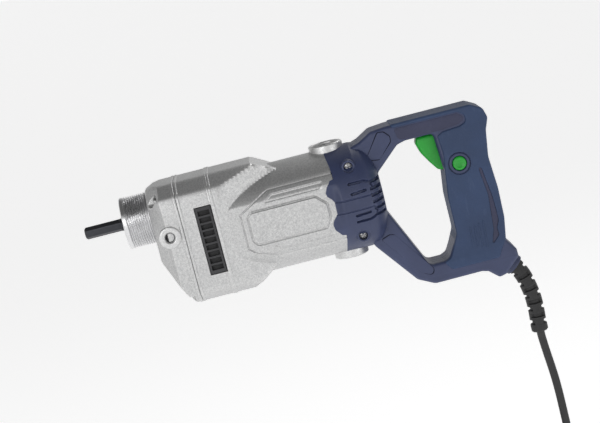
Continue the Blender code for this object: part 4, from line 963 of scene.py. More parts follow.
# ---- metal body ------------------------------------------------------------------------------
@dataclass
class MetalBody:
    """Nose cover, gear case and motor barrel, with what shows on them."""

    axis: float = 0.021
    shaft: float = 0.048
    cover_front: float = -0.289
    half_width: float = 0.046
    half_height: float = 0.056
    lean: float = 0.052
    lean_angle: float = math.radians(11.8)
    shoulder: float = 0.0619
    shoulder_angle: float = math.radians(58.8)
    barrel: float = 0.0485
    barrel_flat: float = 0.0435
    edge: float = 0.0009
    screw_place: Place = (0.033, 0.044)
    screw_pocket: float = 0.0046
    upper_seat: float = -0.2788
    lower_seat: float = -0.2672
    boss_place: Place = (-0.2745, 0.0323)
    bore: float = 0.0078
    bead_height: float = 0.0006
    bead_width: float = 0.0022
    thread_pitch: float = 0.002
    thread_crest: float = 0.02395
    thread_root: float = 0.0224
    brush_x: float = -0.119
    brush_top: float = 0.0536
    plate: Line = (
        (-199, 35, 3), (-140, 35, 3), (-131, 26, 3), (-131, 13, 2), (-136, 6, 2), (-199, 6, 3), (-202.5, 10, 2),
        (-202.5, 31, 2))
    panel: tuple[Place, ...] = (
        (-119, 51.2), (-180, 51.2), (-186, 48.3), (-209, 35.5), (-209, 4), (-203, -1.5), (-181, -9.2),
        (-119, -9.2))
    wedge: Line = (
        (-187, 40.5, 1), (-178, 46.7, 1), (-131, 46.7, 1), (-134, 40.5, 1))

    def build(self) -> None:
        """Make the castings and everything fixed on them."""
        self.nose_cover()
        self.gear_case()
        self.barrel_case()
        self.vent_backing()
        self.side_bosses()
        self.brush_bosses()
        self.collar()
        self.shaft_tip()

    def soft_min(self, distances: Sequence[np.ndarray], edge: float) -> np.ndarray:
        """Least of several arrays with rounded corners: least - edge * log(sum(exp(-(d - least) / edge)))."""
        stack = np.stack(distances)
        least = stack.min(axis=0)
        return least - edge * np.log(np.exp(-(stack - least) / edge).sum(axis=0))

    def case_reach(self, angle: np.ndarray, x: np.ndarray) -> np.ndarray:
        """Distance from the motor's axis to the gear case's skin.

        The section is the inside of ten planes: flanks, top, foot, leaning flanks and shoulders.
        Their distances change along the tool, and a soft minimum rounds the edges between them.

        Args:
            angle: angle about the motor's axis, from +Y towards +Z.
            x: place along the tool.

        Returns:
            Distances.
        """
        across, rise = np.abs(np.cos(angle)), np.sin(angle)
        along = x - self.cover_front
        flank = np.interp(along, (0, 0.013), (0.028, self.half_width))
        flank = flank - 0.4545 * np.maximum(0, along - 0.0645)
        top = np.interp(along, (0, 0.0075), (0.053, self.half_height))
        top = top - 0.517 * np.maximum(0, along - 0.0995)
        foot = np.interp(along, (0, 0.022), (0.0115, self.half_height))
        foot = foot - 0.652 * np.maximum(0, along - 0.077)
        shoulder = np.interp(along, (0, 0.013), (0.050, self.shoulder))
        lean_facing, shoulder_facing = (across * math.cos(tilt) + np.abs(rise) * math.sin(tilt)
                                        for tilt in (self.lean_angle, self.shoulder_angle))
        level = np.where(rise > 0, top, foot)
        return self.soft_min([flank / np.maximum(across, 0.02), level / np.maximum(np.abs(rise), 0.02),
                              self.lean / lean_facing, shoulder / shoulder_facing], self.edge)

    def barrel_reach(self, angle: np.ndarray) -> np.ndarray:
        """Distance to the barrel's skin: a circle with two flat flanks."""
        flat = self.barrel_flat / np.maximum(np.abs(np.cos(angle)), 0.02)
        return self.soft_min([np.full_like(flat, self.barrel), flat], 0.0003)

    def housing_reach(self, angle: np.ndarray, x: np.ndarray) -> np.ndarray:
        """Distance to the motor housing's skin: the tapering case, or the barrel where that is further."""
        return np.maximum(self.case_reach(angle, x), self.barrel_reach(angle))

    def cover_reach(self, angle: np.ndarray, x: np.ndarray) -> np.ndarray:
        """The case's reach, cut back to the near wall of each screw pocket in front of its seat."""
        reach = self.case_reach(angle, x)
        for across in (self.screw_place[0], -self.screw_place[0]):
            for rise in (self.screw_place[1], -self.screw_place[1]):
                off = math.hypot(across, rise)
                turn = angle - math.atan2(rise, across)
                aside = off * np.sin(turn)
                near = off * np.cos(turn) - np.sqrt(np.maximum(self.screw_pocket ** 2 - aside ** 2, 0.0))
                seat = self.upper_seat if rise > 0 else self.lower_seat
                open_ = (np.abs(aside) < self.screw_pocket) & (np.cos(turn) > 0) & (x < seat)
                reach = np.where(open_, np.minimum(reach, near), reach)
        return reach

    def even(self, count: int = 480) -> np.ndarray:
        """Even angles round the axis."""
        return 2 * np.pi * np.arange(count) / count

    def skin(self, low: float, high: float, spacing: float, ends: Place, angle: np.ndarray,
             reach: Callable[[np.ndarray, np.ndarray], np.ndarray]) -> np.ndarray:
        """Grid of a casting's skin, with a quarter-round at each end.

        Args:
            low: its front.
            high: its back.
            spacing: distance between rows.
            ends: radius of the front and back edges.
            angle: the columns' angles.
            reach: distance from the axis for angle and place.

        Returns:
            Grid (rows, columns, 3).
        """
        turn = np.linspace(0.0, np.pi / 2, 5)
        back_turn = turn[::-1]
        middle = np.arange(low + ends[0] + spacing, high - ends[1] - spacing / 2, spacing)
        x = np.concatenate([low + ends[0] * (1 - np.cos(turn)), middle, high - ends[1] * (1 - np.cos(back_turn))])
        inset = np.concatenate([ends[0] * (1 - np.sin(turn)), np.zeros(len(middle)),
                                ends[1] * (1 - np.sin(back_turn))])
        place = x[:, None] + 0.0 * angle[None, :]
        turned = angle[None, :] + 0.0 * place
        radius = reach(turned, place) - inset[:, None]
        return np.stack([place, radius * np.cos(turned), self.axis + radius * np.sin(turned)], axis=-1)

    def bead(self, points: np.ndarray, at: float) -> np.ndarray:
        """A low flange beside a parting line, eased off on both sides."""
        width = self.bead_width
        return self.bead_height * (1.0 - smooth_step(np.abs(points[..., 0] - at), width * 0.75, width))

    def nose_cover(self) -> None:
        """Front casting with its screw pockets and a flange at the parting line."""
        _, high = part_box("nose_cover")
        grid = self.skin(self.cover_front, high[0], 0.0005, (0.0016, 0.0003), self.even(), self.cover_reach)

        def relief(points: np.ndarray) -> np.ndarray:
            """Flange at the back, and a step line across the sides near the top."""
            side = np.abs(points[..., 1]) > 0.02
            line = groove(np.abs(points[..., 2] - 0.0545), 0.0007, 0.0003)
            return self.bead(points, high[0]) + np.where(side & (points[..., 0] > -0.276), line, 0.0)

        grid = carved(grid, relief)
        piece = Surface().sleeve(grid).make("nose_casting", Finish.CAST)
        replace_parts(piece, "nose_cover")

    def gear_case(self) -> None:
        """Middle casting with the window of the cooling vent in each flank."""
        low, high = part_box("gear_housing")
        grid = self.skin(low[0], high[0], 0.0005, (0.0003, 0.0003), flank_angles(150, 52), self.case_reach)
        vent_low, vent_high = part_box("vent_grille_left")
        middle = (np.array(vent_low) + np.array(vent_high)) / 2
        half = (np.array(vent_high) - np.array(vent_low)) / 2 + 0.0002

        def relief(points: np.ndarray) -> np.ndarray:
            """Flanges at both ends, two groove lines along each flank, and the windows themselves."""
            beads = self.bead(points, low[0]) + self.bead(points, high[0])
            gap = np.max(np.abs(points[..., ::2] - middle[::2]) - half[::2], axis=-1)
            flank = np.abs(points[..., 1]) > 0.03
            window = np.where(flank, -0.0042 * (1.0 - smooth_step(gap, 0.0, 0.0005)), 0.0)
            lines = groove(np.abs(points[..., 2] - 0.0595), 0.0008, 0.0003) \
                + groove(np.abs(points[..., 2] + 0.0175), 0.0008, 0.0003)
            return np.where(window < -0.0001, window, beads + np.where(flank, lines, 0.0))

        grid = carved(grid, relief)
        piece = Surface().sleeve(grid).make("gear_casting", Finish.CAST)
        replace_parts(piece, "gear_housing")

    def vent_backing(self) -> None:
        """Dark plate behind each grille, flush with the floor of its window."""
        for word, side in (("left", -1.0), ("right", 1.0)):
            low, high = (np.array(corner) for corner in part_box(f"vent_grille_{word}"))
            line = box_line(low[::2], high[::2], 1)
            surface = Surface()
            near, far = sorted((side * 0.0415, side * 0.04225))
            slab(surface, [resampled(line, 0.002)], near, far, [(0.0002, 0.0002)], 3)
            surface.make(f"vent_backing_{word}", Finish.GASKET)

    def barrel_case(self) -> None:
        """Rear casting: the step down to the barrel, with the relief panel on each flank."""
        low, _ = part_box("motor_housing")
        back = -0.1205
        grid = self.skin(low[0], back, 0.0005, (0.0003, 0.0006), flank_angles(150, 52), self.housing_reach)
        plate = rounded(self.plate)
        wedge = rounded(self.wedge)
        panel = np.array(self.panel) * MM

        def relief(points: np.ndarray) -> np.ndarray:
            """Raised plate, sunk wedges and engraved panel outline, mirrored about the barrel's axis."""
            flat = points[..., [0, 2]]
            mirrored = np.stack([flat[..., 0], 2 * self.axis - flat[..., 1]], axis=-1)
            height = plateau(signed_distance(flat, plate), 0.0009)
            height += groove(np.abs(signed_distance(flat, plate) - 0.0012), 0.0009, 0.0006)
            height += groove(distance_to_line(flat, panel, closed=False), 0.0012, 0.0008)
            for view in (flat, mirrored):
                height += plateau(signed_distance(view, wedge), -0.0009)
                height += groove(np.abs(signed_distance(view, wedge) - 0.0003), 0.0007, 0.0003)
            height = np.where(np.abs(points[..., 1]) > 0.025, height, 0.0)
            return height + self.bead(points, low[0])

        grid = carved(grid, relief)
        piece = Surface().sleeve(grid).make("motor_casting", Finish.CAST)
        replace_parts(piece, "motor_housing")

    def side_bosses(self) -> None:
        """Bored boss for the side handle on each flank, with a machined face."""
        for word, side in (("left", -1.0), ("right", 1.0)):
            rim, foot, face, place = 0.0098, 0.030, 0.0485, self.boss_place
            boss = placed(side * face, [(foot - face, 0.0), (foot - face, rim), (-0.0004, rim), (0.0, rim - 0.001),
                                        (0.0, 0.0055), (-0.0012, 0.0043), (-0.012, 0.0043), (-0.014, 0.0)], side)
            closed_turn(f"side_handle_boss_{word}", Finish.CAST_PANEL, boss, "Y", place, 0.0005)
            thread = placed(side * face, [(-0.0135, 0.0), (-0.0135, 0.0042), (-0.0016, 0.0042), (-0.0026, 0.0036),
                                          (-0.0110, 0.0036), (-0.0120, 0.0)], side)
            closed_turn(f"side_handle_thread_{word}", Finish.BLACKENED, thread, "Y", place, 0.0003)

    def brush_bosses(self) -> None:
        """Round boss over and under the barrel, and the slotted cap that closes each brush holder."""
        for word, side in (("upper", 1.0), ("lower", -1.0)):
            foot, top = 0.035, self.brush_top
            profile = placed(self.axis, [
                (foot, 0.0), (foot, 0.0158), (top - 0.001, 0.01575), (top, 0.0147), (top, 0.0127),
                (top - 0.0008, 0.0119), (top - 0.0048, 0.0119), (top - 0.0048, 0.0)], side)
            closed_turn(f"brush_boss_{word}", Finish.CAST_PANEL, profile, "Z", (self.brush_x, 0.0), 0.0004)
            self.brush_cap(word, side)

    def brush_cap(self, word: str, side: float) -> None:
        """Cap with a rounded rim and a wide coin slot.

        The slot is relief on the turned cap: within 1.1 mm of the middle plane its top sinks 1.5 mm.
        """
        low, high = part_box(f"brush_cap_{word}")
        near, far = (low[2], high[2]) if side > 0 else (high[2], low[2])
        rim = (far - side * 0.001, 0.0112)
        rows = eased([(near, 0.0), (near, 0.0112), rim, (far, 0.0102), (far, 0.0001)], 0.0006)
        top = np.stack([np.full(60, far), np.linspace(0.0101, 0.0001, 60)], axis=1)
        grid = turned_grid(np.vstack([rows[:-2], top]), "Z", (self.brush_x, 0.0), 180)
        slot = 1.0 - smooth_step(np.abs(grid[..., 1]), 0.0009, 0.0013)
        on_top = np.abs(grid[..., 2] - far) < 0.0004
        within = np.hypot(grid[..., 0] - self.brush_x, grid[..., 1]) < 0.0092
        grid[..., 2] -= side * 0.0015 * slot * (on_top & within)
        piece = Surface().sleeve(grid).make(f"brush_holder_cap_{word}", Finish.BLACK)
        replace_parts(piece, f"brush_cap_{word}")

    def collar(self) -> None:
        """Threaded nose: plain rim, 2 mm pitch thread, relief groove and flange, bored through.

        The thread is a helix: the radius swings by a rounded triangle of the phase
        distance / pitch - angle / turn, faded out at both ends.
        """
        low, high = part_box("threaded_nose")
        front, back = low[0], high[0]
        along = np.arange(front + 0.0006, back - 0.0032, 0.00022)
        angle = self.even(160)
        phase = along[:, None] / self.thread_pitch - angle[None, :] / (2 * np.pi)
        swing = np.abs(phase - np.round(phase)) * 2
        tooth = smooth_step(swing, 0.15, 0.85)
        start = smooth_step(along, front + 0.0035, front + 0.0050)
        end = smooth_step(along, back - 0.0072, back - 0.0060)
        radius = self.thread_crest - (self.thread_crest - self.thread_root) * tooth * (start * (1 - end))[:, None]
        radius -= 0.0012 * smooth_step(along, back - 0.0062, back - 0.0056)[:, None]
        rows = placed(front, [(0.0140, self.bore), (0.0140, 0.0178), (0.0012, 0.0178), (0.0, 0.0190),
                              (0.0, 0.0231)])
        lead = turned_grid(np.array(rows), "X", (0.0, self.shaft), 160)
        thread = turned_grid(np.stack([along, np.ones(len(along))], axis=1), "X", (0.0, self.shaft), 160)
        thread[..., 1] *= radius
        thread[..., 2] = self.shaft + (thread[..., 2] - self.shaft) * radius
        rows = placed(back, [(-0.0030, 0.0228), (-0.0030, 0.0256), (-0.0026, 0.0260), (-0.0004, 0.0260),
                             (0.0, 0.0256), (0.0, self.bore)])
        flange = turned_grid(eased(rows, 0.0003), "X", (0.0, self.shaft), 160)
        grid = np.concatenate([lead, thread, flange])
        piece = Surface().ring(grid).make("threaded_collar", Finish.MACHINED)
        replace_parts(piece, "threaded_nose")
        rows = placed(front, [(0.009, 0.0062), (0.009, 0.0172), (0.0016, 0.0176), (0.001, 0.0170), (0.001, 0.0140),
                              (0.0042, 0.0105), (0.0042, 0.0085), (0.002, 0.0074), (0.002, 0.0062)])
        seal = turned_grid(eased(rows, 0.0004), "X", (0.0, self.shaft), 96)
        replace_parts(Surface().ring(seal).make("nose_oil_seal", Finish.SEAL), "oil_seal")

    def shaft_tip(self) -> None:
        """Six-sided driving end with a chamfered tip, turned neck and shoulder, on the spindle.

        The radius is the soft least of six planes 5 mm from the axis; a cone cuts the corners at the tip.
        """
        low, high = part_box("output_spindle")
        tip, neck = low[0], -0.318
        along = np.concatenate([np.linspace(tip, tip + 0.002, 8), np.linspace(tip + 0.0024, neck, 60),
                                np.linspace(neck + 0.0004, high[0], 120)])
        angle = self.even(180)
        facing = np.cos((angle + np.pi / 6) % (np.pi / 3) - np.pi / 6)
        hexagon = self.soft_min([0.005 / facing, np.full_like(facing, 0.00566)], 0.00012)
        cone = 0.0041 + (along - tip) * 1.1
        shoulder = 0.0058 * smooth_step(along, neck - 0.004, neck)
        shoulder += 0.0013 * smooth_step(along, -0.3054, -0.3046)
        radius = np.minimum(np.maximum(hexagon[None, :], shoulder[:, None]), cone[:, None])
        grid = np.stack([along[:, None] + 0 * radius, radius * np.cos(angle),
                         self.shaft + radius * np.sin(angle)], axis=-1)
        piece = Surface().sleeve(grid).make(
            "driving_end", Finish.BLACKENED, "spindle", sharp_deg=20.0)
        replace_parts(piece, "output_spindle")


# ---- handle -------------------------------------------------------------------------------
@dataclass
class Handle:
    """D-shaped handle: round motor cover, frame halves, wrapped moulding, arm fields and cable gland."""

    axis: float = 0.021
    bowl: float = 0.0489
    hug: float = 0.0443
    wall: float = 0.003
    half_width: float = 20.0
    pad_face: float = 0.0213
    rim_radius: float = 0.0034
    pad_rim: float = 0.0017
    spacing: float = 0.0012
    slot_half: float = 0.0086
    seam_half: float = 0.000005
    trigger_slot: Corner = (-7.7, 23.0, 60.5)
    frame_line: Line = (
        (-100, 66, 0), (-89, 69.5, 6), (-77, 76.3, 8), (-62, 77.6, 6), (16, 77.7, 5), (26.0, 72.2, 5),
        (28.6, 63, 5), (24.4, 52, 8), (20.9, 28, 20), (23.0, -2, 30), (22.4, -30, 20), (19.6, -50, 6),
        (28, -62, 4), (28.2, -69, 2), (14, -82.3, 2), (7, -84, 3), (-2, -76, 4), (-8, -74.5, 4),
        (-52, -74.8, 10), (-67, -67, 8), (-97, -27.5, 0), (-100, -20, 0))
    opening_line: Line = (
        (-79, 1, 5), (-79, 38, 5), (-56, 58.5, 6), (-48, 60.5, 5), (-22, 60.5, 4), (-19.5, 24, 14),
        (-22, 0, 20), (-22, -34, 12), (-35, -56.5, 9), (-53, -56.5, 7))
    pad_line: Line = (
        (-59, 78.3, 1), (-56.5, 74.8, 2), (4, 74.4, 4), (9, 70.5, 4), (9.6, 64.5, 4), (3, 61.8, 6), (-13, 60.6, 2),
        (-19, 58, 3), (-17.4, 40, 14), (-19.6, 24, 14), (-22.5, 0, 20), (-22.5, -34, 12), (-32.5, -54.5, 8),
        (-39.5, -57.2, 2), (-37.5, -60.5, 3), (-33.5, -65.5, 3), (11, -65.5, 3), (14.5, -58.5, 4), (20.2, -50, 6),
        (23.4, -30, 20), (24.0, -2, 30), (21.9, 28, 20), (25.4, 52, 8), (29.5, 63, 5), (26.8, 72.4, 5),
        (16, 78.35, 5))
    blade_line: Line = (
        (10.5, 20.5, 0.8), (13.6, -6, 12), (11.2, -38, 8), (6.5, -53, 1), (15.2, -44.5, 2), (14.6, -38, 1.5),
        (17.6, -31, 1.5), (17.6, -23, 2), (17, -8, 12), (13.4, 19.5, 0.8))
    panel_line: Line = (
        (-54, 63.5, 2), (-47, 62.0, 2), (-13, 61.8, 2), (2, 63.2, 3), (8, 66, 3), (7.6, 70, 4), (3, 73.4, 3),
        (-56, 73.8, 2))
    upper_rib: Line = (
        (-87, 52.2, 1.5), (-74.3, 50.0, 1.5), (-61.5, 63.4, 2), (-61, 68, 2), (-66, 73.4, 2), (-71, 73.8, 2))
    lower_rib: Line = (
        (-90.5, -22.6, 1.5), (-82, -19.8, 3), (-77.5, -20.8, 2), (-57, -50, 4), (-50, -60, 4), (-53, -65.5, 6),
        (-61, -61.5, 6))
    flutes: Line = ((-10.5, -31, -49), (-6.2, -30, -51), (-2, -29, -52.5), (2.2, -28, -53.5))
    slots: tuple[tuple[Place, ...], ...] = (
        ((-108, 38.6), (-95, 38.6), (-91, 37.2), (-88.2, 34), (-87.2, 30)), ((-107.5, 29.3), (-95, 30.4)),
        ((-107.5, 9.3), (-95, 10)), ((-108, 3.2), (-96, 3.4), (-91.5, 4.8), (-88.4, 8), (-87.2, 12)))
    screws: tuple[Place, ...] = ((-104.5, 53.0), (-106.0, -11.0))
    back_screws: tuple[Place, ...] = ((17.0, 69.0), (-40.0, -65.5), (5.0, -66.0))
    button: Place = (-5.0, 28.5)

    def build(self) -> None:
        """Make every piece of the handle."""
        self.motor_cover()
        for side, word in ((-1.0, "left"), (1.0, "right")):
            self.frame_half(side, word)
            self.pads(side, word)
            self.ribs(side, word)
        self.screw_cups()
        self.button_surround()
        self.gland()

    def front_edge(self, z: np.ndarray) -> np.ndarray:
        """Place of the cover's lobed front edge at each level: a smooth line through a short table."""
        levels = np.array([-28, -24, -10, -6.2, -5.2, -3.0, 1, 4.5, 8, 12, 14.6, 26.3, 29.5, 33, 36.5, 41, 44, 45.4,
                           46.4, 52.7, 66, 70]) * MM
        fronts = np.array([-123, -123, -120.8, -120.5, -124.6, -126, -129.3, -130, -129, -125.6, -124, -124, -125.6,
                           -129, -129.8, -127.5, -124.8, -124, -120, -120.2, -122.5, -122.5]) * MM
        return np.interp(z, levels, fronts)

    def cover_grid(self, inset: float, rows: tuple[int, float]) -> np.ndarray:
        """Grid of the round cover, front edge to the middle of its rear wall, drawn in by inset.

        Rows run straight back from the lobed edge, where the section hugs the barrel's flats, then
        follow a curve that rounds the back over to a flat wall.
        """
        angle = flank_angles(140, 50)
        front = self.front_edge(self.axis + self.bowl * np.sin(angle))
        share = np.linspace(0.0, 1.0, rows[0])[:, None]
        x = front * (1 - share) - 0.099 * share
        hug = np.minimum(self.bowl, self.hug / np.maximum(np.abs(np.cos(angle)), 0.02))
        free = smooth_step(x, -0.1245, -0.1165)
        radius = hug * (1 - free) + self.bowl * free - inset
        straight = np.stack([x, radius], axis=-1)
        curve = np.array([(-99, 48.9), (-90, 46.4), (-83.5, 39), (-79.6, 30), (-79.2, 28)]) * MM
        bend = spline_through(curve, rows[1])
        flat = np.stack([np.full(56, -0.0791), np.linspace(0.0275, 0.0003, 56)], axis=1)
        line = np.vstack([bend[1:], flat])
        away = np.gradient(line, axis=0)
        away = np.stack([away[:, 1], -away[:, 0]], axis=1) / np.linalg.norm(away, axis=1, keepdims=True)
        line = line + away * inset
        line[:, 1] = np.maximum(line[:, 1], 0.0003)
        curve = np.broadcast_to(line[:, None], (len(line), len(angle), 2))
        both = np.concatenate([straight, curve])
        return np.stack([both[..., 0], both[..., 1] * np.cos(angle), self.axis + both[..., 1] * np.sin(angle)],
                        axis=-1)

    def motor_cover(self) -> None:
        """Round cover behind the barrel, with air slots, louvres, screw recesses and a channel band."""
        outer = self.cover_grid(0.0, (64, 0.0005))
        inner = self.cover_grid(self.wall, (14, 0.003))
        lines = [np.array(slot) * MM for slot in self.slots]

        def relief(points: np.ndarray) -> np.ndarray:
            """Slots 2.1 mm wide, louvres in the rear wall, round screw recesses and two band lines."""
            flat = points[..., [0, 2]]
            flank = np.abs(points[..., 1]) > 0.015
            height = np.zeros(points.shape[:-1])
            for line in lines:
                height = np.minimum(height, groove(distance_to_line(flat, line, closed=False), 0.0021, 0.0028))
            for level in (0.0252, 0.0142):
                band = groove(np.abs(flat[..., 1] - level), 0.0011, 0.0007)
                height = np.minimum(height, np.where(flat[..., 0] < -0.088, band, 0.0))
            height = np.where(flank, height, 0.0)
            for place in self.screws:
                gap = np.hypot(flat[..., 0] - place[0] * MM, flat[..., 1] - place[1] * MM)
                height = np.where((points[..., 1] < -0.01) & (gap < 0.0052), -0.0027, height)
            pitch = (flat[..., 1] - self.axis) / 0.006
            louvre = groove(np.abs(pitch - np.floor(pitch) - 0.5) * 0.006, 0.0026, 0.0026)
            rear = (points[..., 0] > -0.0905) & (np.abs(flat[..., 1] - self.axis) < 0.018)
            outside = np.abs(points[..., 1])
            rear &= (outside < 0.013) | ((points[..., 0] < -0.0795) & (outside > 0.022))
            return np.where(rear, np.minimum(height, louvre), height)

        outer = carved(outer, relief)
        lip = (outer[:1] + inner[:1]) / 2
        lip[..., 0] -= 0.0004
        grid = np.concatenate([inner[::-1], lip, outer])
        piece = Surface().sleeve(grid).make("motor_cover", Finish.SHELL)
        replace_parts(piece, "handle_shell_left", "handle_shell_right")

    def halves(self, name: str, finish: Finish, loops: Sequence[Sequence[Corner]], side: float,
               face: float, rims: Sequence[Place], holes: Sequence[np.ndarray]) -> bpy.types.Object:
        """One side of the frame or of its moulding, with a slot in its inner part for the trigger.

        Args:
            name: the piece's name.
            finish: its finish.
            loops: outlines as x, z and corner radius in millimetres, the first being the outer one.
            side: -1 for the left side, 1 for the right.
            face: distance of the outer face from the middle plane, in metres.
            rims: radius at the inner and the outer rim of each loop.
            holes: round outlines cut through the outer part.

        Returns:
            The object.
        """
        surface = Surface()
        for levels, slotted in (((self.slot_half, face), False), ((self.seam_half, self.slot_half), True)):
            lines = [self.notched(loop) if slotted else loop for loop in loops]
            outlines = [resampled(rounded(line), self.spacing) for line in lines]
            outlines += [] if slotted else list(holes)
            edges = [(0.0003, 0.0001)] if slotted else [*rims[:len(loops)], rims[-1]]
            if side < 0:
                edges = [(over, under) for under, over in edges]
            low, high = sorted((side * levels[0], side * levels[1]))
            slab(surface, outlines, low, high, edges, 6)
        return surface.make(name, finish)

    def notched(self, line: Sequence[Corner]) -> list[Corner]:
        """The same outline with the trigger's slot cut into its edge, where it passes that edge."""
        x_back, z_low, z_high = self.trigger_slot
        inside_slot = [index for index, (x, z, _) in enumerate(line)
                       if z_low < z < z_high + 1.6 and -25 < x < -10]
        if not inside_slot:
            return list(line)
        first, last = inside_slot[0], inside_slot[-1]
        start, end = line[last], line[(last + 1) % len(line)]
        share = (start[1] - z_low) / (start[1] - end[1])
        foot = start[0] + (end[0] - start[0]) * share
        corners = [(x_back, z_high, 0.3), (x_back, z_low, 0.3), (foot, z_low, 0.3)]
        return [*line[:first], *corners, *line[last + 1:]]

    def frame_half(self, side: float, word: str) -> None:
        """One half of the frame: screw holes on the right, the button's hole on the left."""
        holes = [disc(place, 4.0) for place in self.back_screws] if side > 0 else [disc(self.button, 6.8)]
        self.halves(f"frame_half_{word}", Finish.SHELL, (self.frame_line, self.opening_line), side,
                    self.half_width * MM, [(0.0001, self.rim_radius), (0.0001, self.rim_radius), (0.0001, 0.0004)],
                    holes)

    def plate(self, name: str, finish: Finish, line: Sequence[Corner], side: float,
              levels: Place, rim: float) -> bpy.types.Object:
        """A thin plate on one side of the frame.

        Args:
            name: the piece's name.
            finish: its finish.
            line: outline as x, z and corner radius in millimetres.
            side: -1 for the left side, 1 for the right.
            levels: inner and outer distance from the middle plane, in millimetres.
            rim: radius of its outer edge.

        Returns:
            The object.
        """
        surface = Surface()
        low, high = sorted((side * levels[0] * MM, side * levels[1] * MM))
        rims = [(rim, 0.0001) if side < 0 else (0.0001, rim)]
        slab(surface, [resampled(rounded(line), 0.0009)], low, high, rims)
        return surface.make(name, finish)

    def pads(self, side: float, word: str) -> None:
        """Soft moulding round the grip with its blade-shaped window, and the inset panel on the arm."""
        opening = disc(self.back_screws[0], 4.3) if side > 0 else disc(self.button, 10.4)
        holes = [resampled(rounded(self.blade_line), 0.0009), opening]
        pad = self.halves(f"grip_moulding_{word}", Finish.OVERMOULD, (self.pad_line,), side, self.pad_face,
                          [(0.0001, self.pad_rim), (0.0001, 0.0004)], holes)
        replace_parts(pad, f"grip_pad_{word}")
        self.plate(f"blade_inlay_{word}", Finish.PANEL, self.blade_line, side, (19.4, 20.5), 0.0003)
        self.plate(f"inset_panel_{word}", Finish.PANEL, self.panel_line, side, (19.4, 20.35), 0.0003)

    def ribs(self, side: float, word: str) -> None:
        """Field with a shadow line round it on each arm, and the short flutes low on the grip."""
        for place, line in (("upper", self.upper_rib), ("lower", self.lower_rib)):
            middle = np.mean([corner[:2] for corner in line], axis=0)
            wider = [(x + math.copysign(0.7, x - middle[0]), z + math.copysign(0.7, z - middle[1]), radius + 0.5)
                     for x, z, radius in line]
            self.plate(f"{place}_arm_line_{word}", Finish.SHADOW, wider, side, (19.4, 20.06), 0.00004)
            self.plate(f"{place}_arm_field_{word}", Finish.SHELL, line, side, (19.4, 20.30), 0.0003)
        for number, (place, top, foot) in enumerate(self.flutes, start=1):
            line = ((place - 0.7, foot, 0.6), (place + 0.7, foot, 0.6), (place + 1.6, top, 0.5),
                    (place + 0.4, top, 0.5))
            self.plate(f"grip_flute_{number}_{word}", Finish.OVERMOULD, line, side, (20.9, 21.8), 0.0004)

    def screw_cups(self) -> None:
        """Round cup that guides each front screw of the handle."""
        for index, place in enumerate(self.screws):
            rise = place[1] * MM - self.axis
            face = math.sqrt(self.bowl ** 2 - rise ** 2) + 0.0012
            profile = [(-0.0330, 0.0), (-0.0330, 0.0040), (-face + 0.0004, 0.0040), (-face, 0.0044),
                       (-face, 0.0056), (-face + 0.001, 0.0062), (-0.0300, 0.0066), (-0.0300, 0.0)]
            across = (place[0] * MM, place[1] * MM)
            closed_turn(f"screw_cup_{index + 1}", Finish.SHELL, profile, "Y", across, 0.0003)

    def button_surround(self) -> None:
        """Ring round the lock button."""
        profile = [(-0.0190, 0.0068), (-0.0208, 0.0068), (-0.0213, 0.0074), (-0.0213, 0.0088),
                   (-0.0203, 0.0100), (-0.0190, 0.0102)]
        grid = turned_grid(eased(profile, 0.0004), "Y", (self.button[0] * MM, self.button[1] * MM), 96)
        Surface().ring(grid).make("button_ring", Finish.SHELL)

    def gland(self) -> None:
        """Collar round the lead where it leaves the foot of the handle: a turned ring on a slanted axis."""
        inner, outer = Vector((0.0135, 0.0, -0.0676)), Vector((0.0250, 0.0, -0.0812))
        way = (outer - inner).normalized()
        profile = [(0.0, 0.0080), (0.0145, 0.0098), (0.0165, 0.0098), (0.0172, 0.0092), (0.0172, 0.0081)]
        grid = turned_grid(eased(profile, 0.0004), "X", (0.0, 0.0), 72)
        turn = np.array(Vector((1, 0, 0)).rotation_difference(way).to_matrix())
        grid = grid @ turn.T + np.array(inner)
        Surface().ring(grid).make("cable_gland", Finish.SHELL)


# ---- controls and screws ---------------------------------------------------------------------
@dataclass
class Controls:
    """Trigger and lock button, each on its own sliding body."""

    trigger_line: Line = (
        (-14, 24.5, 0), (-14, 59.3, 0), (-37, 59.3, 3), (-39, 54, 5), (-36, 44, 12), (-30, 34, 12),
        (-24, 25.5, 4), (-20, 24.5, 2))

    def build(self) -> None:
        """Make both."""
        surface = Surface()
        line = resampled(rounded(self.trigger_line), 0.0007)
        slab(surface, [line], -0.0080, 0.0080, [(0.0030, 0.0030)], 8)
        trigger = surface.make("trigger_key", Finish.GREEN, "trigger")
        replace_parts(trigger, "trigger")
        low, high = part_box("lock_button")
        middle = middle_of("lock_button", 0, 2)
        face = low[1]
        profile = [(high[1], 0.0), (high[1], 0.0064), (face + 0.0012, 0.0064), (face + 0.0002, 0.0054),
                   (face, 0.0044), (face + 0.0006, 0.0030), (face + 0.0009, 0.0)]
        button = closed_turn("lock_key", Finish.GREEN, profile, "Y", middle, 0.0005, "lock_button")
        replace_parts(button, "lock_button")


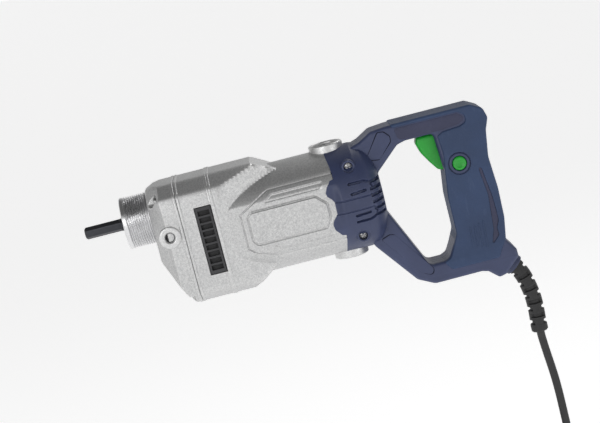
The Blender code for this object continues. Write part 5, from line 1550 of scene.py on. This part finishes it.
@dataclass
class Screws:
    """Cross-head screws in their pockets."""

    cover_radius: float = 0.0040
    handle_radius: float = 0.0035
    under_face: float = 0.0024
    cross_depth: float = 0.0013

    def build(self) -> None:
        """Make a fine head for each screw."""
        for name in frame["nodes"]:
            if "_screw_" not in name:
                continue
            low, high = (np.array(corner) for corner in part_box(name))
            size = high - low
            axis = "Y" if size[1] > size[0] else "X"
            if axis == "X":
                middle = middle_of(name, 1, 2)
                seat = MetalBody.upper_seat if middle[1] > MetalBody.axis else MetalBody.lower_seat
                self.head(name, axis, seat - 0.0002, -1.0, middle, self.cover_radius)
            else:
                way = 1.0 if name.startswith("grip") else -1.0
                outer = high[1] if way > 0 else low[1]
                seat = outer - way * self.under_face
                self.head(name, axis, seat, way, middle_of(name, 0, 2), self.handle_radius)

    def head(self, name: str, axis: str, seat: float, way: float, place: Place, radius: float) -> None:
        """Pan head with a cross recess.

        Height over the seat is a low dome, 1.8 mm at the rim and 2.4 mm in the middle; the cross
        is two bars about 1 mm wide that sink by cross_depth.
        """
        reach = np.concatenate([[radius], np.linspace(radius, 0.0001, 30)])
        rise = np.concatenate([[0.0], 0.0018 + 0.0006 * (1 - (np.linspace(1.0, 0.0, 30)) ** 2)])
        grid = turned_grid(np.stack([seat + way * rise, reach], axis=1), axis, place, 96)
        first, second = (grid[..., 1], grid[..., 2]) if axis == "X" else (grid[..., 0], grid[..., 2])
        first, second = first - place[0], second - place[1]
        arm = np.minimum(np.abs(first), np.abs(second))
        long_ = np.maximum(np.abs(first), np.abs(second))
        cross = 1 - smooth_step(arm, 0.00035, 0.00060)
        cross = cross * (1 - smooth_step(long_, radius * 0.6, radius * 0.72))
        column = 0 if axis == "X" else 1
        grid[1:, :, column] -= way * self.cross_depth * cross[1:]
        piece = Surface().sleeve(grid).make(name + "_head", Finish.ZINC)
        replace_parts(piece, name)


# ---- all of it --------------------------------------------------------------------------------
def dress_frame() -> None:
    """Give every CAD node the finish of its own slot."""
    slots = {row["node"]: row["material_slot"] for row in frame["record"]["subparts"]}
    for name, node in frame["nodes"].items():
        finish = SLOT_FINISHES[slots[name]][0]
        for slot in node.material_slots:
            slot.link = "OBJECT"
            slot.material = finish.material()
        LOG.info("%s: %s", name, finish.name)


def main() -> None:
    """Build the studio and every sub-assembly."""
    logging.basicConfig(level=logging.INFO)
    for assembly in (Studio(), MainsCord(), MetalBody(), Handle(), Controls(), Screws()):
        LOG.info("building %s", type(assembly).__name__)
        assembly.build()
    dress_frame()


if __name__ == "__main__":
    main()
